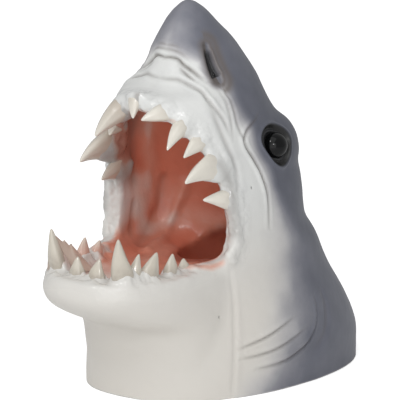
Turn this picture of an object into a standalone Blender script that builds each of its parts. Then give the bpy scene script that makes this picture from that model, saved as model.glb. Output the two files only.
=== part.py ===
"""Shark head figurine, cast in one piece: a great white's head, mouth wide open, on its cut neck.

Metres, +Z up. The origin is the centre of the flat foot. The mouth faces -Y, the back of the head +Y, and the
shark's left side is +X. Sizes below are in millimetres, and MM turns them into metres.
"""

import math
from collections import namedtuple

import bmesh
import bpy
from mathutils import Matrix, Vector

MM = 0.001

# The foot, which is the flat face that the neck is cut off at
FOOT_HALF_WIDTH = 67.5
FOOT_HALF_LENGTH = 98.5
FOOT_TRIM = 12.0

# The open mouth: its corners, and the arch of the upper jaw above them
CORNER_HALF_WIDTH = 52.0
CORNER_FORWARD = 56.0
CORNER_HEIGHT = 87.0
CHEEK_SETBACK = 10.0
CHEEK_WALL = 13.0
UPPER_ARCH_RISE = 96.0
UPPER_ARCH_REACH = 18.0
UPPER_ARCH_POWER = 2.15
UPPER_ARCH_LEAN = 5.0
UPPER_LIP_RADIUS = 6.0
CHEEK_LIP_RADIUS = 5.0

# The snout above the mouth
SNOUT_LENGTH = 59.0
SNOUT_TIP_FORWARD = 32.0

# The lower jaw, whose rim lies a little under the corners of the mouth
LOWER_JAW_REACH = 91.0
LOWER_JAW_HALF_WIDTH = 51.5
LOWER_JAW_DROP = 3.0
LOWER_JAW_POWER = 2.6
LOWER_LIP_RADIUS = 10.0
MOUTH_FLOOR_DEPTH = 7.0
MOUTH_BACK = 9.0
GULLET_RADIUS = 26.0
GULLET_DEPTH = 40.0
GULLET_FORWARD = 6.0
GULLET_DROP = 9.0

# The teeth stand on the upper arch, and on a squarer line inside the lower jaw's outline
LOWER_ROW_INSET = 15.5
LOWER_ROW_POWER = 4.0
LOWER_ROW_DROP = 2.0
TOOTH_ROOT = 5.0

# Eyes and brows, with heights above the corners of the mouth and angles round the head
EYE_RADIUS = 7.0
EYE_RISE = 64.0
EYE_ANGLE = 8.0
EYE_SINK = 3.5
SOCKET_HALF_WIDTH = 11.0
SOCKET_HALF_HEIGHT = 13.5
SOCKET_DEPTH = 3.0
BROW_RISE = 62.0
BROW_ANGLE = 34.0
BROW_HALF_WIDTH = 38.0
BROW_HALF_HEIGHT = 30.0
BROW_PROUD = 5.0

# Nostrils, with their height above the top of the mouth
NOSTRIL_RISE = 24.5
NOSTRIL_ANGLE = -30.0
NOSTRIL_LENGTH = 24.0
NOSTRIL_WIDTH = 6.5
NOSTRIL_DEPTH = 4.0
NOSTRIL_SLANT = (0.25, -0.25, 1.0)

# The grooves of the skin
FOLD_RADIUS = 2.6
WRINKLE_RADIUS = 2.3

# Mesh fineness
HULL_RING_COUNT = 48
HULL_SIDE_COUNT = 64
JAW_RING_COUNT = 16
JAW_SIDE_COUNT = 48
LIP_STEP_COUNT = 48
FOLD_STEP_COUNT = 4
BALL_SIDE_COUNT = 18
BALL_RING_COUNT = 10
TOOTH_RING_COUNT = 6
TOOTH_SIDE_COUNT = 8
CLAY_VOXEL = 2.0
CLAY_SMOOTHING_COUNT = 4
CLAY_TRIANGLE_COUNT = 7600

MOUTH_TOP = CORNER_HEIGHT + UPPER_ARCH_RISE
HEAD_HEIGHT = MOUTH_TOP + SNOUT_LENGTH
RIM_HEIGHT = CORNER_HEIGHT - LOWER_JAW_DROP
FLOOR_HEIGHT = RIM_HEIGHT - MOUTH_FLOOR_DEPTH
ROOF_HEIGHT = MOUTH_TOP - UPPER_LIP_RADIUS

# A level section: its height, the y of its widest point, and its reach from there to the side, front and back
Station = namedtuple("Station", "height centre half_width front back power")

HEAD_STATIONS = (
    Station(-FOOT_TRIM, 0.0, FOOT_HALF_WIDTH - 1.0, FOOT_HALF_LENGTH - 1.0, FOOT_HALF_LENGTH - 1.0, 2.35),
    Station(8.0, 0.0, FOOT_HALF_WIDTH - 0.5, FOOT_HALF_LENGTH - 0.5, FOOT_HALF_LENGTH - 0.5, 2.3),
    Station(22.0, 0.0, FOOT_HALF_WIDTH, FOOT_HALF_LENGTH - 1.0, FOOT_HALF_LENGTH, 2.2),
    Station(CORNER_HEIGHT - 45.0, 0.0, CORNER_HALF_WIDTH + 13.5, 94.0, 87.5, 2.2),
    Station(CORNER_HEIGHT - 23.0, -3.0, CORNER_HALF_WIDTH + 9.5, 90.0, 72.0, 2.2),
    Station(CORNER_HEIGHT, -6.0, CORNER_HALF_WIDTH + 7.0, 90.0, 62.0, 2.2),
    Station(CORNER_HEIGHT + 15.0, -11.0, CORNER_HALF_WIDTH + 5.5, 86.0, 57.0, 2.2),
    Station(CORNER_HEIGHT + 40.0, -15.0, CORNER_HALF_WIDTH + 5.0, 76.0, 58.0, 2.2),
    Station(MOUTH_TOP - 31.0, -16.0, CORNER_HALF_WIDTH - 1.0, 70.0, 50.0, 2.2),
    Station(MOUTH_TOP - 8.0, -26.0, CORNER_HALF_WIDTH - 7.0, 56.0, 48.0, 2.1),
    Station(MOUTH_TOP + 3.0, -27.0, CORNER_HALF_WIDTH - 12.0, 53.0, 45.0, 2.0),
    Station(MOUTH_TOP + 9.0, -25.5, CORNER_HALF_WIDTH - 16.0, 42.0, 41.0, 2.0),
    Station(MOUTH_TOP + 19.0, -24.5, 30.5, 34.0, 35.0, 2.0),
    Station(MOUTH_TOP + 31.0, -25.5, 24.5, 29.0, 27.5, 2.0),
    Station(HEAD_HEIGHT - 16.0, -28.5, 17.0, 20.0, 18.5, 2.0),
    Station(HEAD_HEIGHT - 6.0, 1.5 - SNOUT_TIP_FORWARD, 9.5, 11.0, 10.0, 2.0),
    Station(HEAD_HEIGHT, -SNOUT_TIP_FORWARD, 0.0, 0.0, 0.0, 2.0),
)


def jaw_station(drop, inset, reach_inset, back):
    """A level section of the lower jaw and throat, a drop below the rim and inset from the jaw's outline."""
    return Station(
        RIM_HEIGHT - drop, -CORNER_FORWARD, LOWER_JAW_HALF_WIDTH - inset, LOWER_JAW_REACH - reach_inset, back,
        LOWER_JAW_POWER,
    )


JAW_STATIONS = (
    jaw_station(70.0, 3.5, 53.0, 30.0),
    jaw_station(48.0, 1.5, 50.0, 34.0),
    jaw_station(39.0, 0.5, 45.0, 38.0),
    jaw_station(31.0, 0.0, 25.0, 40.0),
    jaw_station(24.0, 0.0, 11.0, 40.0),
    jaw_station(18.0, 0.5, 3.0, 40.0),
    jaw_station(11.0, 0.0, 0.0, 40.0),
    jaw_station(6.0, 3.0, 3.0, 36.0),
    jaw_station(3.0, 9.0, 9.0, 30.0),
)

# The hollow of the lower jaw, inside its row of teeth
BASIN_STATIONS = (
    jaw_station(MOUTH_FLOOR_DEPTH, LOWER_ROW_INSET + 8.0, LOWER_ROW_INSET + 8.0, 40.0),
    jaw_station(-1.0, LOWER_ROW_INSET, LOWER_ROW_INSET + 1.0, 40.0),
    jaw_station(-12.0, LOWER_ROW_INSET - 5.0, LOWER_ROW_INSET - 3.0, 40.0),
)

# The hollow between the cheeks. Its half widths leave the cheek's wall inside the head's own width
CAVITY_STATIONS = (
    Station(FLOOR_HEIGHT, -20.0, CORNER_HALF_WIDTH - CHEEK_WALL - 9.0, 54.0, MOUTH_BACK + 14.0, 2.2),
    Station(CORNER_HEIGHT - 2.0, -20.0, CORNER_HALF_WIDTH - CHEEK_WALL + 5.0, 56.0, MOUTH_BACK + 20.0, 2.4),
    Station(CORNER_HEIGHT + 15.0, -20.0, CORNER_HALF_WIDTH - CHEEK_WALL + 6.0, 60.0, MOUTH_BACK + 20.0, 2.4),
    Station(CORNER_HEIGHT + 40.0, -22.0, CORNER_HALF_WIDTH - CHEEK_WALL + 5.0, 60.0, MOUTH_BACK + 13.0, 2.3),
    Station(MOUTH_TOP - 33.0, -36.0, CORNER_HALF_WIDTH - CHEEK_WALL - 1.0, 50.0, MOUTH_BACK + 15.0, 2.2),
    Station(MOUTH_TOP - 18.0, -47.0, CORNER_HALF_WIDTH - CHEEK_WALL - 6.5, 40.0, MOUTH_BACK + 13.0, 2.1),
    Station(MOUTH_TOP - 9.0, -56.0, CORNER_HALF_WIDTH - CHEEK_WALL - 15.0, 28.0, MOUTH_BACK + 8.0, 2.0),
    Station(ROOF_HEIGHT + 1.0, -66.0, 0.0, 0.0, 0.0, 2.0),
)

# A tooth: its place along the jaw in degrees from the middle to the corner, its width and thickness at the
# gum, and how far its tip lies outwards, forwards and upwards of its root
Tooth = namedtuple("Tooth", "place width thickness out forward up")

UPPER_TEETH = (
    Tooth(9.0, 16.0, 10.0, -3.0, 15.0, -5.0),
    Tooth(27.0, 17.0, 11.0, 4.5, 23.0, -12.0),
    Tooth(40.0, 12.0, 9.0, 1.0, 20.5, -7.5),
    Tooth(54.0, 20.0, 12.0, 0.0, 34.0, -5.0),
    Tooth(68.5, 13.0, 9.0, -7.5, 19.0, 1.5),
)

LOWER_TEETH = (
    Tooth(3.0, 11.0, 9.0, 0.5, -0.5, 13.5),
    Tooth(31.5, 14.0, 12.0, 0.5, 8.0, 28.5),
    Tooth(43.0, 9.0, 8.0, 0.0, -3.5, 18.0),
    Tooth(58.0, 12.0, 9.0, 1.0, -6.0, 17.0),
    Tooth(77.0, 9.0, 8.0, 0.0, -2.0, 13.0),
    Tooth(85.0, 8.0, 7.0, -2.0, -1.0, 7.5),
)

# A tooth's outline: shares of its length, and of its half width and half thickness there
TOOTH_OUTLINE = ((0.1, 0.95, 0.95), (0.4, 0.66, 0.7), (0.72, 0.36, 0.42), (0.93, 0.14, 0.18), (1.0, 0.0, 0.0))

# A groove of the left side, which repeats on the right: its name, its radius, the height that its own heights
# count from, and its places on the skin as height and angle
Fold = namedtuple("Fold", "name radius base places")

FOLDS = (
    Fold("gill_front", FOLD_RADIUS, 0.0, ((31.0, -31.0), (35.0, -19.0), (39.0, -11.0), (44.0, -3.0))),
    Fold("gill_middle", FOLD_RADIUS, 0.0, ((24.5, -30.0), (26.0, -16.0), (30.0, -6.0), (35.0, 1.0))),
    Fold(
        "gill_back", FOLD_RADIUS, 0.0,
        ((16.5, -22.0), (18.0, -9.0), (23.0, 0.0), (32.0, 6.0), (41.0, 9.0), (51.0, 10.0)),
    ),
    Fold(
        "throat_edge", FOLD_RADIUS, 0.0,
        ((79.0, -30.0), (61.0, -31.0), (43.0, -33.0), (24.0, -33.0), (5.0, -33.0)),
    ),
    Fold(
        "cheek_furrow", FOLD_RADIUS, CORNER_HEIGHT,
        ((83.0, 4.0), (78.0, -8.0), (70.0, -13.0), (60.0, -10.0), (50.0, -7.0), (37.0, -5.0), (23.0, -5.0)),
    ),
    Fold(
        "snout_wrinkle_low", WRINKLE_RADIUS, MOUTH_TOP,
        ((25.0, -98.0), (26.0, -74.0), (20.0, -54.0), (10.5, -34.0), (2.0, -20.0)),
    ),
    Fold(
        "snout_wrinkle_high", WRINKLE_RADIUS, MOUTH_TOP,
        ((29.5, -97.0), (30.5, -75.0), (28.0, -62.0), (14.0, -40.0)),
    ),
    Fold(
        "lip_crease", WRINKLE_RADIUS, MOUTH_TOP,
        ((16.0, -100.0), (16.0, -74.0), (10.5, -50.0), (4.0, -34.0), (-3.0, -27.0)),
    ),
)


def spline(values, at):
    """Catmull-Rom curve through values, at a place counted in values."""
    low = min(max(math.floor(at), 0), len(values) - 2)
    share = at - low
    start, end = values[low], values[low + 1]
    before = values[low - 1] if low > 0 else start
    after = values[low + 2] if low + 2 < len(values) else end
    return 0.5 * (
        2 * start
        + (end - before) * share
        + (2 * before - 5 * start + 4 * end - after) * share**2
        + (3 * start - before - 3 * end + after) * share**3
    )


def section_at(stations, at):
    """The level section at a place counted in stations.

    Past a pointed end the widths turn negative, which rounds that end.
    """
    if stations[-1].half_width == 0.0:
        last = stations[-2]
        stations = (*stations, last._replace(half_width=-last.half_width, front=-last.front, back=-last.back))
    return Station(*(spline(column, at) for column in zip(*stations)))


def section_point(section, angle):
    """A point of a level section. Angle 0 is the shark's left, and a quarter turn is the back."""
    across, along = math.cos(angle), math.sin(angle)
    share = 2.0 / section.power
    reach = section.back if along > 0 else section.front
    return Vector((
        section.half_width * math.copysign(abs(across) ** share, across),
        section.centre + reach * math.copysign(abs(along) ** share, along),
        section.height,
    ))


def loft_mesh(name, stations, rings, around, place=None):
    """A closed mesh through level sections, moved to its place.

    It ends in a point where its last section has no width.
    """
    pointed = stations[-1].half_width == 0.0
    bm = bmesh.new()
    loops = []
    for ring in range(rings - 1 if pointed else rings):
        section = section_at(stations, ring * (len(stations) - 1) / (rings - 1))
        loops.append([bm.verts.new(section_point(section, math.tau * i / around)) for i in range(around)])
    for low, high in zip(loops, loops[1:]):
        for i in range(around):
            j = (i + 1) % around
            bm.faces.new((low[i], low[j], high[j], high[i]))
    bm.faces.new(loops[0][::-1])
    if pointed:
        tip = bm.verts.new(section_point(stations[-1], 0.0))
        for i in range(around):
            bm.faces.new((loops[-1][i], loops[-1][(i + 1) % around], tip))
    else:
        bm.faces.new(loops[-1])
    bm.transform(Matrix.Scale(MM, 4) @ (place or Matrix.Identity(4)))
    bmesh.ops.recalc_face_normals(bm, faces=bm.faces)
    mesh = bpy.data.meshes.new(name)
    bm.to_mesh(mesh)
    bm.free()
    mesh.shade_smooth()
    return mesh


def skin_place(height, angle):
    """A place on the head's own surface, in millimetres, and the direction that points straight out of it."""
    heights = [station.height for station in HEAD_STATIONS]
    low, high = 0.0, len(heights) - 1.0
    for _ in range(40):
        middle = (low + high) / 2
        if spline(heights, middle) < height:
            low = middle
        else:
            high = middle
    turn = math.radians(angle)
    step = 0.02

    def at(station, around):
        return section_point(section_at(HEAD_STATIONS, station), around)

    around = at(low, turn + step) - at(low, turn - step)
    upward = at(low + step, turn) - at(low - step, turn)
    return at(low, turn), around.cross(upward).normalized()


def helper(name, mesh, collection):
    """An object that only shapes another one."""
    shape = bpy.data.objects.new(name, mesh)
    collection.objects.link(shape)
    shape.hide_render = True
    shape.display_type = "WIRE"


def tube_mesh(name, path, radii):
    """A round tube with closed ends along a path in millimetres, with its own radius at each point."""
    curve = bpy.data.curves.new(name, "CURVE")
    curve.dimensions = "3D"
    curve.bevel_depth = MM
    curve.bevel_resolution = 2
    curve.use_fill_caps = True
    line = curve.splines.new("POLY")
    line.points.add(len(path) - 1)
    for point, place, radius in zip(line.points, path, radii):
        point.co = (*(Vector(place) * MM), 1.0)
        point.radius = radius
    guide = bpy.data.objects.new(name, curve)
    bpy.context.scene.collection.objects.link(guide)
    bpy.context.view_layer.update()
    mesh = bpy.data.meshes.new_from_object(guide.evaluated_get(bpy.context.evaluated_depsgraph_get()))
    bpy.data.objects.remove(guide)
    bpy.data.curves.remove(curve)
    bm = bmesh.new()
    bm.from_mesh(mesh)
    bmesh.ops.remove_doubles(bm, verts=bm.verts, dist=0.00002)
    bmesh.ops.recalc_face_normals(bm, faces=bm.faces)
    bm.to_mesh(mesh)
    bm.free()
    return mesh


def ball_mesh(name, radii, centre, outward, upward=(0, 0, 1)):
    """A closed ellipsoid in millimetres, whose second radius lies towards upward and third along outward."""
    bm = bmesh.new()
    bmesh.ops.create_uvsphere(bm, u_segments=BALL_SIDE_COUNT, v_segments=BALL_RING_COUNT, radius=1.0)
    depth = Vector(outward).normalized()
    across = Vector(upward).cross(depth).normalized()
    turn = Matrix((across, depth.cross(across), depth)).transposed().to_4x4()
    size = Matrix.Diagonal((*radii, 1.0))
    bm.transform(Matrix.Scale(MM, 4) @ Matrix.Translation(centre) @ turn @ size)
    mesh = bpy.data.meshes.new(name)
    bm.to_mesh(mesh)
    bm.free()
    mesh.shade_smooth()
    return mesh


def mirrored(mesh, name):
    """The same mesh for the shark's right side."""
    twin = mesh.copy()
    twin.name = name
    twin.transform(Matrix.Scale(-1.0, 4, (1, 0, 0)))
    twin.flip_normals()
    return twin


def pair(name, mesh, collection):
    """A left shape and its twin on the right."""
    helper(f"{name}_left", mesh, collection)
    helper(f"{name}_right", mirrored(mesh, f"{name}_right"), collection)


def lip_line(height):
    """The y of the edge of the open mouth at a height.

    It draws back along the cheek and reaches out under the snout.
    """
    rise = min(max((height - CORNER_HEIGHT) / UPPER_ARCH_RISE, 0.0), 1.0)
    setback = CHEEK_SETBACK * math.sin(math.pi * rise**0.5)
    return -CORNER_FORWARD + setback - UPPER_ARCH_REACH * rise**UPPER_ARCH_LEAN


def bow(place, half_width, reach, power):
    """Across and along of a rounded arch. Place 0 is its middle, and 90 degrees is its left end."""
    turn = math.radians(place)
    share = 2.0 / power
    across = math.copysign(abs(math.sin(turn)) ** share, turn)
    return half_width * across, reach * abs(math.cos(turn)) ** share


def upper_arch(place):
    """A point of the upper gum."""
    across, rise = bow(place, CORNER_HALF_WIDTH, UPPER_ARCH_RISE, UPPER_ARCH_POWER)
    return Vector((across, lip_line(CORNER_HEIGHT + rise), CORNER_HEIGHT + rise))


def lower_lip(place):
    """A point of the middle of the lower lip's roll."""
    reach = LOWER_JAW_REACH - LOWER_LIP_RADIUS
    across, along = bow(place, LOWER_JAW_HALF_WIDTH - LOWER_LIP_RADIUS, reach, LOWER_JAW_POWER)
    return Vector((across, -CORNER_FORWARD - along, RIM_HEIGHT - LOWER_LIP_RADIUS))


def lower_row(place):
    """A point of the line that the lower teeth stand on."""
    reach = LOWER_JAW_REACH - LOWER_ROW_INSET
    across, along = bow(place, LOWER_JAW_HALF_WIDTH - LOWER_ROW_INSET, reach, LOWER_ROW_POWER)
    return Vector((across, -CORNER_FORWARD - along, RIM_HEIGHT - LOWER_ROW_DROP))


def add_lips(collection):
    """The rolled lips: one tube round the upper jaw and down both cheeks, and one round the lower jaw."""
    places = [-90.0 + 180.0 * i / LIP_STEP_COUNT for i in range(LIP_STEP_COUNT + 1)]
    gain = UPPER_LIP_RADIUS - CHEEK_LIP_RADIUS
    radii = [CHEEK_LIP_RADIUS + gain * math.cos(math.radians(place)) for place in places]
    helper("upper_lip", tube_mesh("upper_lip", [upper_arch(place) for place in places], radii), collection)
    lip = tube_mesh("lower_lip", [lower_lip(place) for place in places], [LOWER_LIP_RADIUS] * len(places))
    helper("lower_lip", lip, collection)


def tooth_mesh(name, tooth, row):
    """A pointed, slightly flattened tooth, rooted in the gum."""
    root = row(tooth.place)
    along = (row(tooth.place + 1.0) - row(tooth.place - 1.0)).normalized()
    reach = Vector((tooth.out, -tooth.forward, tooth.up))
    axis = reach.normalized()
    across = (along - axis * along.dot(axis)).normalized()
    turn = Matrix((across, axis.cross(across), axis)).transposed().to_4x4()
    length = reach.length
    wide, thick = tooth.width / 2, tooth.thickness / 2
    stations = [Station(-TOOTH_ROOT, 0.0, wide, thick, thick, 2.0)]
    for share, wide_share, thick_share in TOOTH_OUTLINE:
        depth = thick * thick_share
        stations.append(Station(length * share, 0.0, wide * wide_share, depth, depth, 2.0))
    return loft_mesh(name, stations, TOOTH_RING_COUNT, TOOTH_SIDE_COUNT, Matrix.Translation(root) @ turn)


def add_teeth(collection):
    """Both rows of teeth, each tooth with its twin."""
    for number, tooth in enumerate(UPPER_TEETH, 1):
        pair(f"upper_tooth_{number}", tooth_mesh("tooth", tooth, upper_arch), collection)
    for number, tooth in enumerate(LOWER_TEETH, 1):
        pair(f"lower_tooth_{number}", tooth_mesh("tooth", tooth, lower_row), collection)


def add_mouth_cutters(collection):
    """The hollow of the mouth: its open front, the room between the cheeks, the jaw's basin and the gullet."""
    half_width, reach = 2 * CORNER_HALF_WIDTH, 1.5 * LOWER_JAW_REACH
    bottom, top = RIM_HEIGHT + 2.0, MOUTH_TOP + 1.0
    levels = [bottom + (top - bottom) * i / JAW_RING_COUNT for i in range(JAW_RING_COUNT + 1)]
    front = [Station(level, lip_line(level), half_width, reach, 0.01, 12.0) for level in levels]
    helper("mouth_front", loft_mesh("mouth_front", front, len(front), JAW_SIDE_COUNT), collection)
    helper("cheek_room", loft_mesh("cheek_room", CAVITY_STATIONS, HULL_RING_COUNT, HULL_SIDE_COUNT), collection)
    helper("jaw_basin", loft_mesh("jaw_basin", BASIN_STATIONS, JAW_RING_COUNT, JAW_SIDE_COUNT), collection)
    size = (GULLET_RADIUS, GULLET_RADIUS, GULLET_DEPTH)
    place = (0.0, MOUTH_BACK - GULLET_FORWARD, FLOOR_HEIGHT - GULLET_DROP)
    helper("gullet", ball_mesh("gullet", size, place, (0, 1, -1)), collection)


def add_folds(collection):
    """Grooves that follow the skin, tapered to both ends."""
    for fold in FOLDS:
        path = [skin_place(fold.base + height, angle)[0] for height, angle in fold.places]
        steps = FOLD_STEP_COUNT * (len(path) - 1)
        curve = [Vector([spline(axis, i / FOLD_STEP_COUNT) for axis in zip(*path)]) for i in range(steps + 1)]
        taper = [fold.radius * (0.25 + 0.75 * math.sin(math.pi * i / steps)) for i in range(steps + 1)]
        pair(fold.name, tube_mesh(fold.name, curve, taper), collection)


def add_brows(collection):
    """A broad, low mound on each side, which carries the eye and bulges behind it."""
    place, outward = skin_place(CORNER_HEIGHT + BROW_RISE, BROW_ANGLE)
    size = (BROW_HALF_WIDTH, BROW_HALF_HEIGHT, BROW_HALF_WIDTH)
    centre = place - outward * (BROW_HALF_WIDTH - BROW_PROUD)
    pair("brow", ball_mesh("brow", size, centre, outward), collection)


def add_eyes(sockets, eyes):
    """An oval socket and a ball in it on each side."""
    place, outward = skin_place(CORNER_HEIGHT + EYE_RISE, EYE_ANGLE)
    size = (SOCKET_HALF_WIDTH, SOCKET_HALF_HEIGHT, 2 * SOCKET_DEPTH)
    pair("socket", ball_mesh("socket", size, place + outward * SOCKET_DEPTH, outward), sockets)
    pair("eyeball", ball_mesh("eyeball", (EYE_RADIUS,) * 3, place - outward * EYE_SINK, outward), eyes)


def add_nostrils(collection):
    """A slit on each side of the snout."""
    place, outward = skin_place(MOUTH_TOP + NOSTRIL_RISE, NOSTRIL_ANGLE)
    size = (NOSTRIL_WIDTH / 2, NOSTRIL_LENGTH / 2, NOSTRIL_DEPTH)
    pair("nostril", ball_mesh("nostril", size, place, outward, NOSTRIL_SLANT), collection)


def add_ground(collection):
    """A block that trims the foot flat."""
    bm = bmesh.new()
    bmesh.ops.create_cube(bm, size=1.0)
    size = Matrix.Diagonal((3 * FOOT_HALF_WIDTH, 3 * FOOT_HALF_LENGTH, 3 * FOOT_TRIM, 1.0))
    bm.transform(Matrix.Scale(MM, 4) @ Matrix.Translation((0, 0, -1.5 * FOOT_TRIM)) @ size)
    mesh = bpy.data.meshes.new("ground")
    bm.to_mesh(mesh)
    bm.free()
    helper("ground", mesh, collection)


def join(body, name, operation, collection):
    """Adds or cuts away every shape of a collection."""
    step = body.modifiers.new(name, "BOOLEAN")
    step.operation = operation
    step.operand_type = "COLLECTION"
    step.collection = collection
    step.solver = "EXACT"
    step.use_self = operation == "UNION"


def settle(body):
    """Makes the mesh that the modifiers give the body's own, and returns its number of triangles."""
    bpy.context.view_layer.update()
    graph = bpy.context.evaluated_depsgraph_get()
    settled = bpy.data.meshes.new_from_object(body.evaluated_get(graph))
    body.modifiers.clear()
    body.data = settled
    settled.calc_loop_triangles()
    return len(settled.loop_triangles)


def soften(body):
    """Blends the joined shapes as modelled clay, then thins the mesh to its triangle budget."""
    clay = body.modifiers.new("clay", "REMESH")
    clay.mode = "VOXEL"
    clay.voxel_size = CLAY_VOXEL * MM
    rub = body.modifiers.new("rub", "SMOOTH")
    rub.factor = 0.5
    rub.iterations = CLAY_SMOOTHING_COUNT
    count = settle(body)
    thin = body.modifiers.new("thin", "DECIMATE")
    thin.ratio = min(1.0, CLAY_TRIANGLE_COUNT / count)
    settle(body)


def painted_resin():
    """Glossy blue-grey paint over cast resin."""
    material = bpy.data.materials.new("painted_resin")
    material.use_nodes = True
    shader = material.node_tree.nodes["Principled BSDF"]
    shader.inputs["Base Color"].default_value = (0.45, 0.48, 0.54, 1.0)
    shader.inputs["Roughness"].default_value = 0.25
    shader.inputs["Metallic"].default_value = 0.0
    return material


def main():
    """Builds the head from its shapes, in one collection named for it."""
    for stale in list(bpy.data.objects):
        bpy.data.objects.remove(stale)
    names = (
        "shark_head_figurine", "bulks", "hollows", "lips", "folds",
        "sockets", "eyes", "nostrils", "teeth", "foot",
    )
    groups = {name: bpy.data.collections.new(name) for name in names}
    for group in groups.values():
        bpy.context.scene.collection.children.link(group)

    hull = loft_mesh("shark_head", HEAD_STATIONS, HULL_RING_COUNT, HULL_SIDE_COUNT)
    head = bpy.data.objects.new("shark_head", hull)
    head.data.materials.append(painted_resin())
    groups["shark_head_figurine"].objects.link(head)

    helper("lower_jaw", loft_mesh("lower_jaw", JAW_STATIONS, JAW_RING_COUNT, JAW_SIDE_COUNT), groups["bulks"])
    add_brows(groups["bulks"])
    add_mouth_cutters(groups["hollows"])
    add_lips(groups["lips"])
    add_folds(groups["folds"])
    add_eyes(groups["sockets"], groups["eyes"])
    add_nostrils(groups["nostrils"])
    add_teeth(groups["teeth"])
    add_ground(groups["foot"])

    join(head, "bulks", "UNION", groups["bulks"])
    join(head, "hollows", "DIFFERENCE", groups["hollows"])
    join(head, "lips", "UNION", groups["lips"])
    join(head, "folds", "DIFFERENCE", groups["folds"])
    soften(head)
    join(head, "sockets", "DIFFERENCE", groups["sockets"])
    join(head, "eyes", "UNION", groups["eyes"])
    join(head, "nostrils", "DIFFERENCE", groups["nostrils"])
    join(head, "teeth", "UNION", groups["teeth"])
    join(head, "foot", "DIFFERENCE", groups["foot"])


main()
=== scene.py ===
"""Looks of the shark head figurine: a hand-painted, clear-coated casting in polyester resin.

The casting repeats the CAD model's forms, with the softness, folds and paint that a sculptor and an airbrush
give. Lengths are millimetres until a mesh is written, where MM turns them into metres. The mouth faces -Y,
the shark's left side is +X, and both sides are alike unless a tooth says otherwise.
"""

import logging
import math
from dataclasses import dataclass, field
from enum import Enum
from typing import ClassVar, Sequence, Union

import bmesh
import bpy
import numpy as np
from mathutils import Matrix, Vector
from mathutils.bvhtree import BVHTree


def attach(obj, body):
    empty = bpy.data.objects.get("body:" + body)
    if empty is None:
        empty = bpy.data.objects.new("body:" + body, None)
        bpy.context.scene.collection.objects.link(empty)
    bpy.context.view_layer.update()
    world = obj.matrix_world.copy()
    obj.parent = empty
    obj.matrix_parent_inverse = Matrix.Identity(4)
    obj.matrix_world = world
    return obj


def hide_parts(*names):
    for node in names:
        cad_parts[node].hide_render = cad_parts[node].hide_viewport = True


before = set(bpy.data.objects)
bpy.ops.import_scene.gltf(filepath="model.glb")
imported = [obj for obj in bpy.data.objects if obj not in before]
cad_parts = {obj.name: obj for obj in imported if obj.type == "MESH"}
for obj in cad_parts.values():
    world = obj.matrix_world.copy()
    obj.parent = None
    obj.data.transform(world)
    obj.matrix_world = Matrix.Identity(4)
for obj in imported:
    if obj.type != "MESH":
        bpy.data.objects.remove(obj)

MM = 0.001
LOG = logging.getLogger("shark_head")

# A path over the skin: its points in millimetres, and the direction straight out at each
SkinPath = tuple[np.ndarray, np.ndarray]


class Side(Enum):
    """A side of the shark, as the sign of its x."""

    LEFT = 1.0
    RIGHT = -1.0


class Jaw(Enum):
    """One of the two jaws, as the name of the piece that its teeth are."""

    UPPER = "upper_teeth"
    LOWER = "lower_teeth"


class Boolean(Enum):
    """How a form meets the body, as Blender's name of that step."""

    JOIN = "UNION"
    CUT = "DIFFERENCE"


class Coat(Enum):
    """A paint of the casting, some of it painted shade, as the name of the mesh attribute that says where it lies."""

    # A darker, warmer white over the lower half: painted shade away from the top light
    WARM = "warm"
    SLATE = "slate"
    LINING = "lining"
    BLUSH = "blush"
    # The throat's dark brown: partly paint, partly painted shade of its depth
    GULLET = "gullet"
    BLACK = "black"
    # Brown painted shade in the creases, the recesses and between the teeth, and the brown round the nostrils
    UMBER = "umber"
    WET = "wet"


# ---------------------------------------------------------------------------
# Numbers and meshes
# ---------------------------------------------------------------------------


def smooth(low: float, high: float, value: np.ndarray) -> np.ndarray:
    """A soft step from 0 at low to 1 at high, where low may be the larger one."""
    share = np.clip((value - low) / (high - low), 0.0, 1.0)
    return share * share * (3.0 - 2.0 * share)


def bell(value: np.ndarray, width: float) -> np.ndarray:
    """A soft bump: 1 where value is 0, and nearly 0 from twice the width on."""
    return np.exp(-((value / width) ** 2))


def spline(table: np.ndarray, at: np.ndarray) -> np.ndarray:
    """Catmull-Rom curve through a table's rows.

    Args:
        table: one row for each point that the curve passes through.
        at: places along the curve, counted in rows.

    Returns:
        One row for each place.
    """
    at = np.atleast_1d(np.asarray(at, float))
    low = np.clip(np.floor(at).astype(int), 0, len(table) - 2)
    share = (at - low)[:, None]
    start, end = table[low], table[low + 1]
    before = table[np.maximum(low - 1, 0)]
    after = table[np.minimum(low + 2, len(table) - 1)]
    return 0.5 * (
        2 * start
        + (end - before) * share
        + (2 * before - 5 * start + 4 * end - after) * share**2
        + (3 * start - before - 3 * end + after) * share**3
    )


def unit(vectors: np.ndarray) -> np.ndarray:
    """The same directions at length 1."""
    return vectors / np.maximum(np.linalg.norm(vectors, axis=-1, keepdims=True), 1e-9)


def drift(points: np.ndarray, size: float, seed: int) -> np.ndarray:
    """Soft irregular waves over space, from -1 to 1, the same on every run.

    Args:
        points: places in millimetres.
        size: the usual distance between crests in millimetres.
        seed: picks one of many such patterns.

    Returns:
        One value for each place.
    """
    rng = np.random.default_rng(seed)
    total = np.zeros(len(points))
    for _ in range(7):
        direction = unit(rng.normal(size=3))
        total += np.sin(points @ direction * (math.tau / size) * rng.uniform(0.7, 1.4) + rng.uniform(0, math.tau))
    # Seven waves together seldom pass this height
    return total / 4.5


def even_steps(points: np.ndarray, values: Union[np.ndarray, None] = None, step: float = 1.2) -> np.ndarray:
    """Spaces a path evenly.

    Args:
        points: the path's points in millimetres, unevenly spaced.
        values: a row for each point to give instead of the points themselves.
        step: the even step in millimetres.

    Returns:
        The points, or the values, at even steps along the path.
    """
    run = np.concatenate([[0.0], np.cumsum(np.linalg.norm(np.diff(points, axis=0), axis=1))])
    at = np.linspace(0.0, run[-1], max(int(run[-1] / step), 4))
    source = points if values is None else values
    return np.stack([np.interp(at, run, source[:, k]) for k in range(3)], axis=-1)


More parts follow.
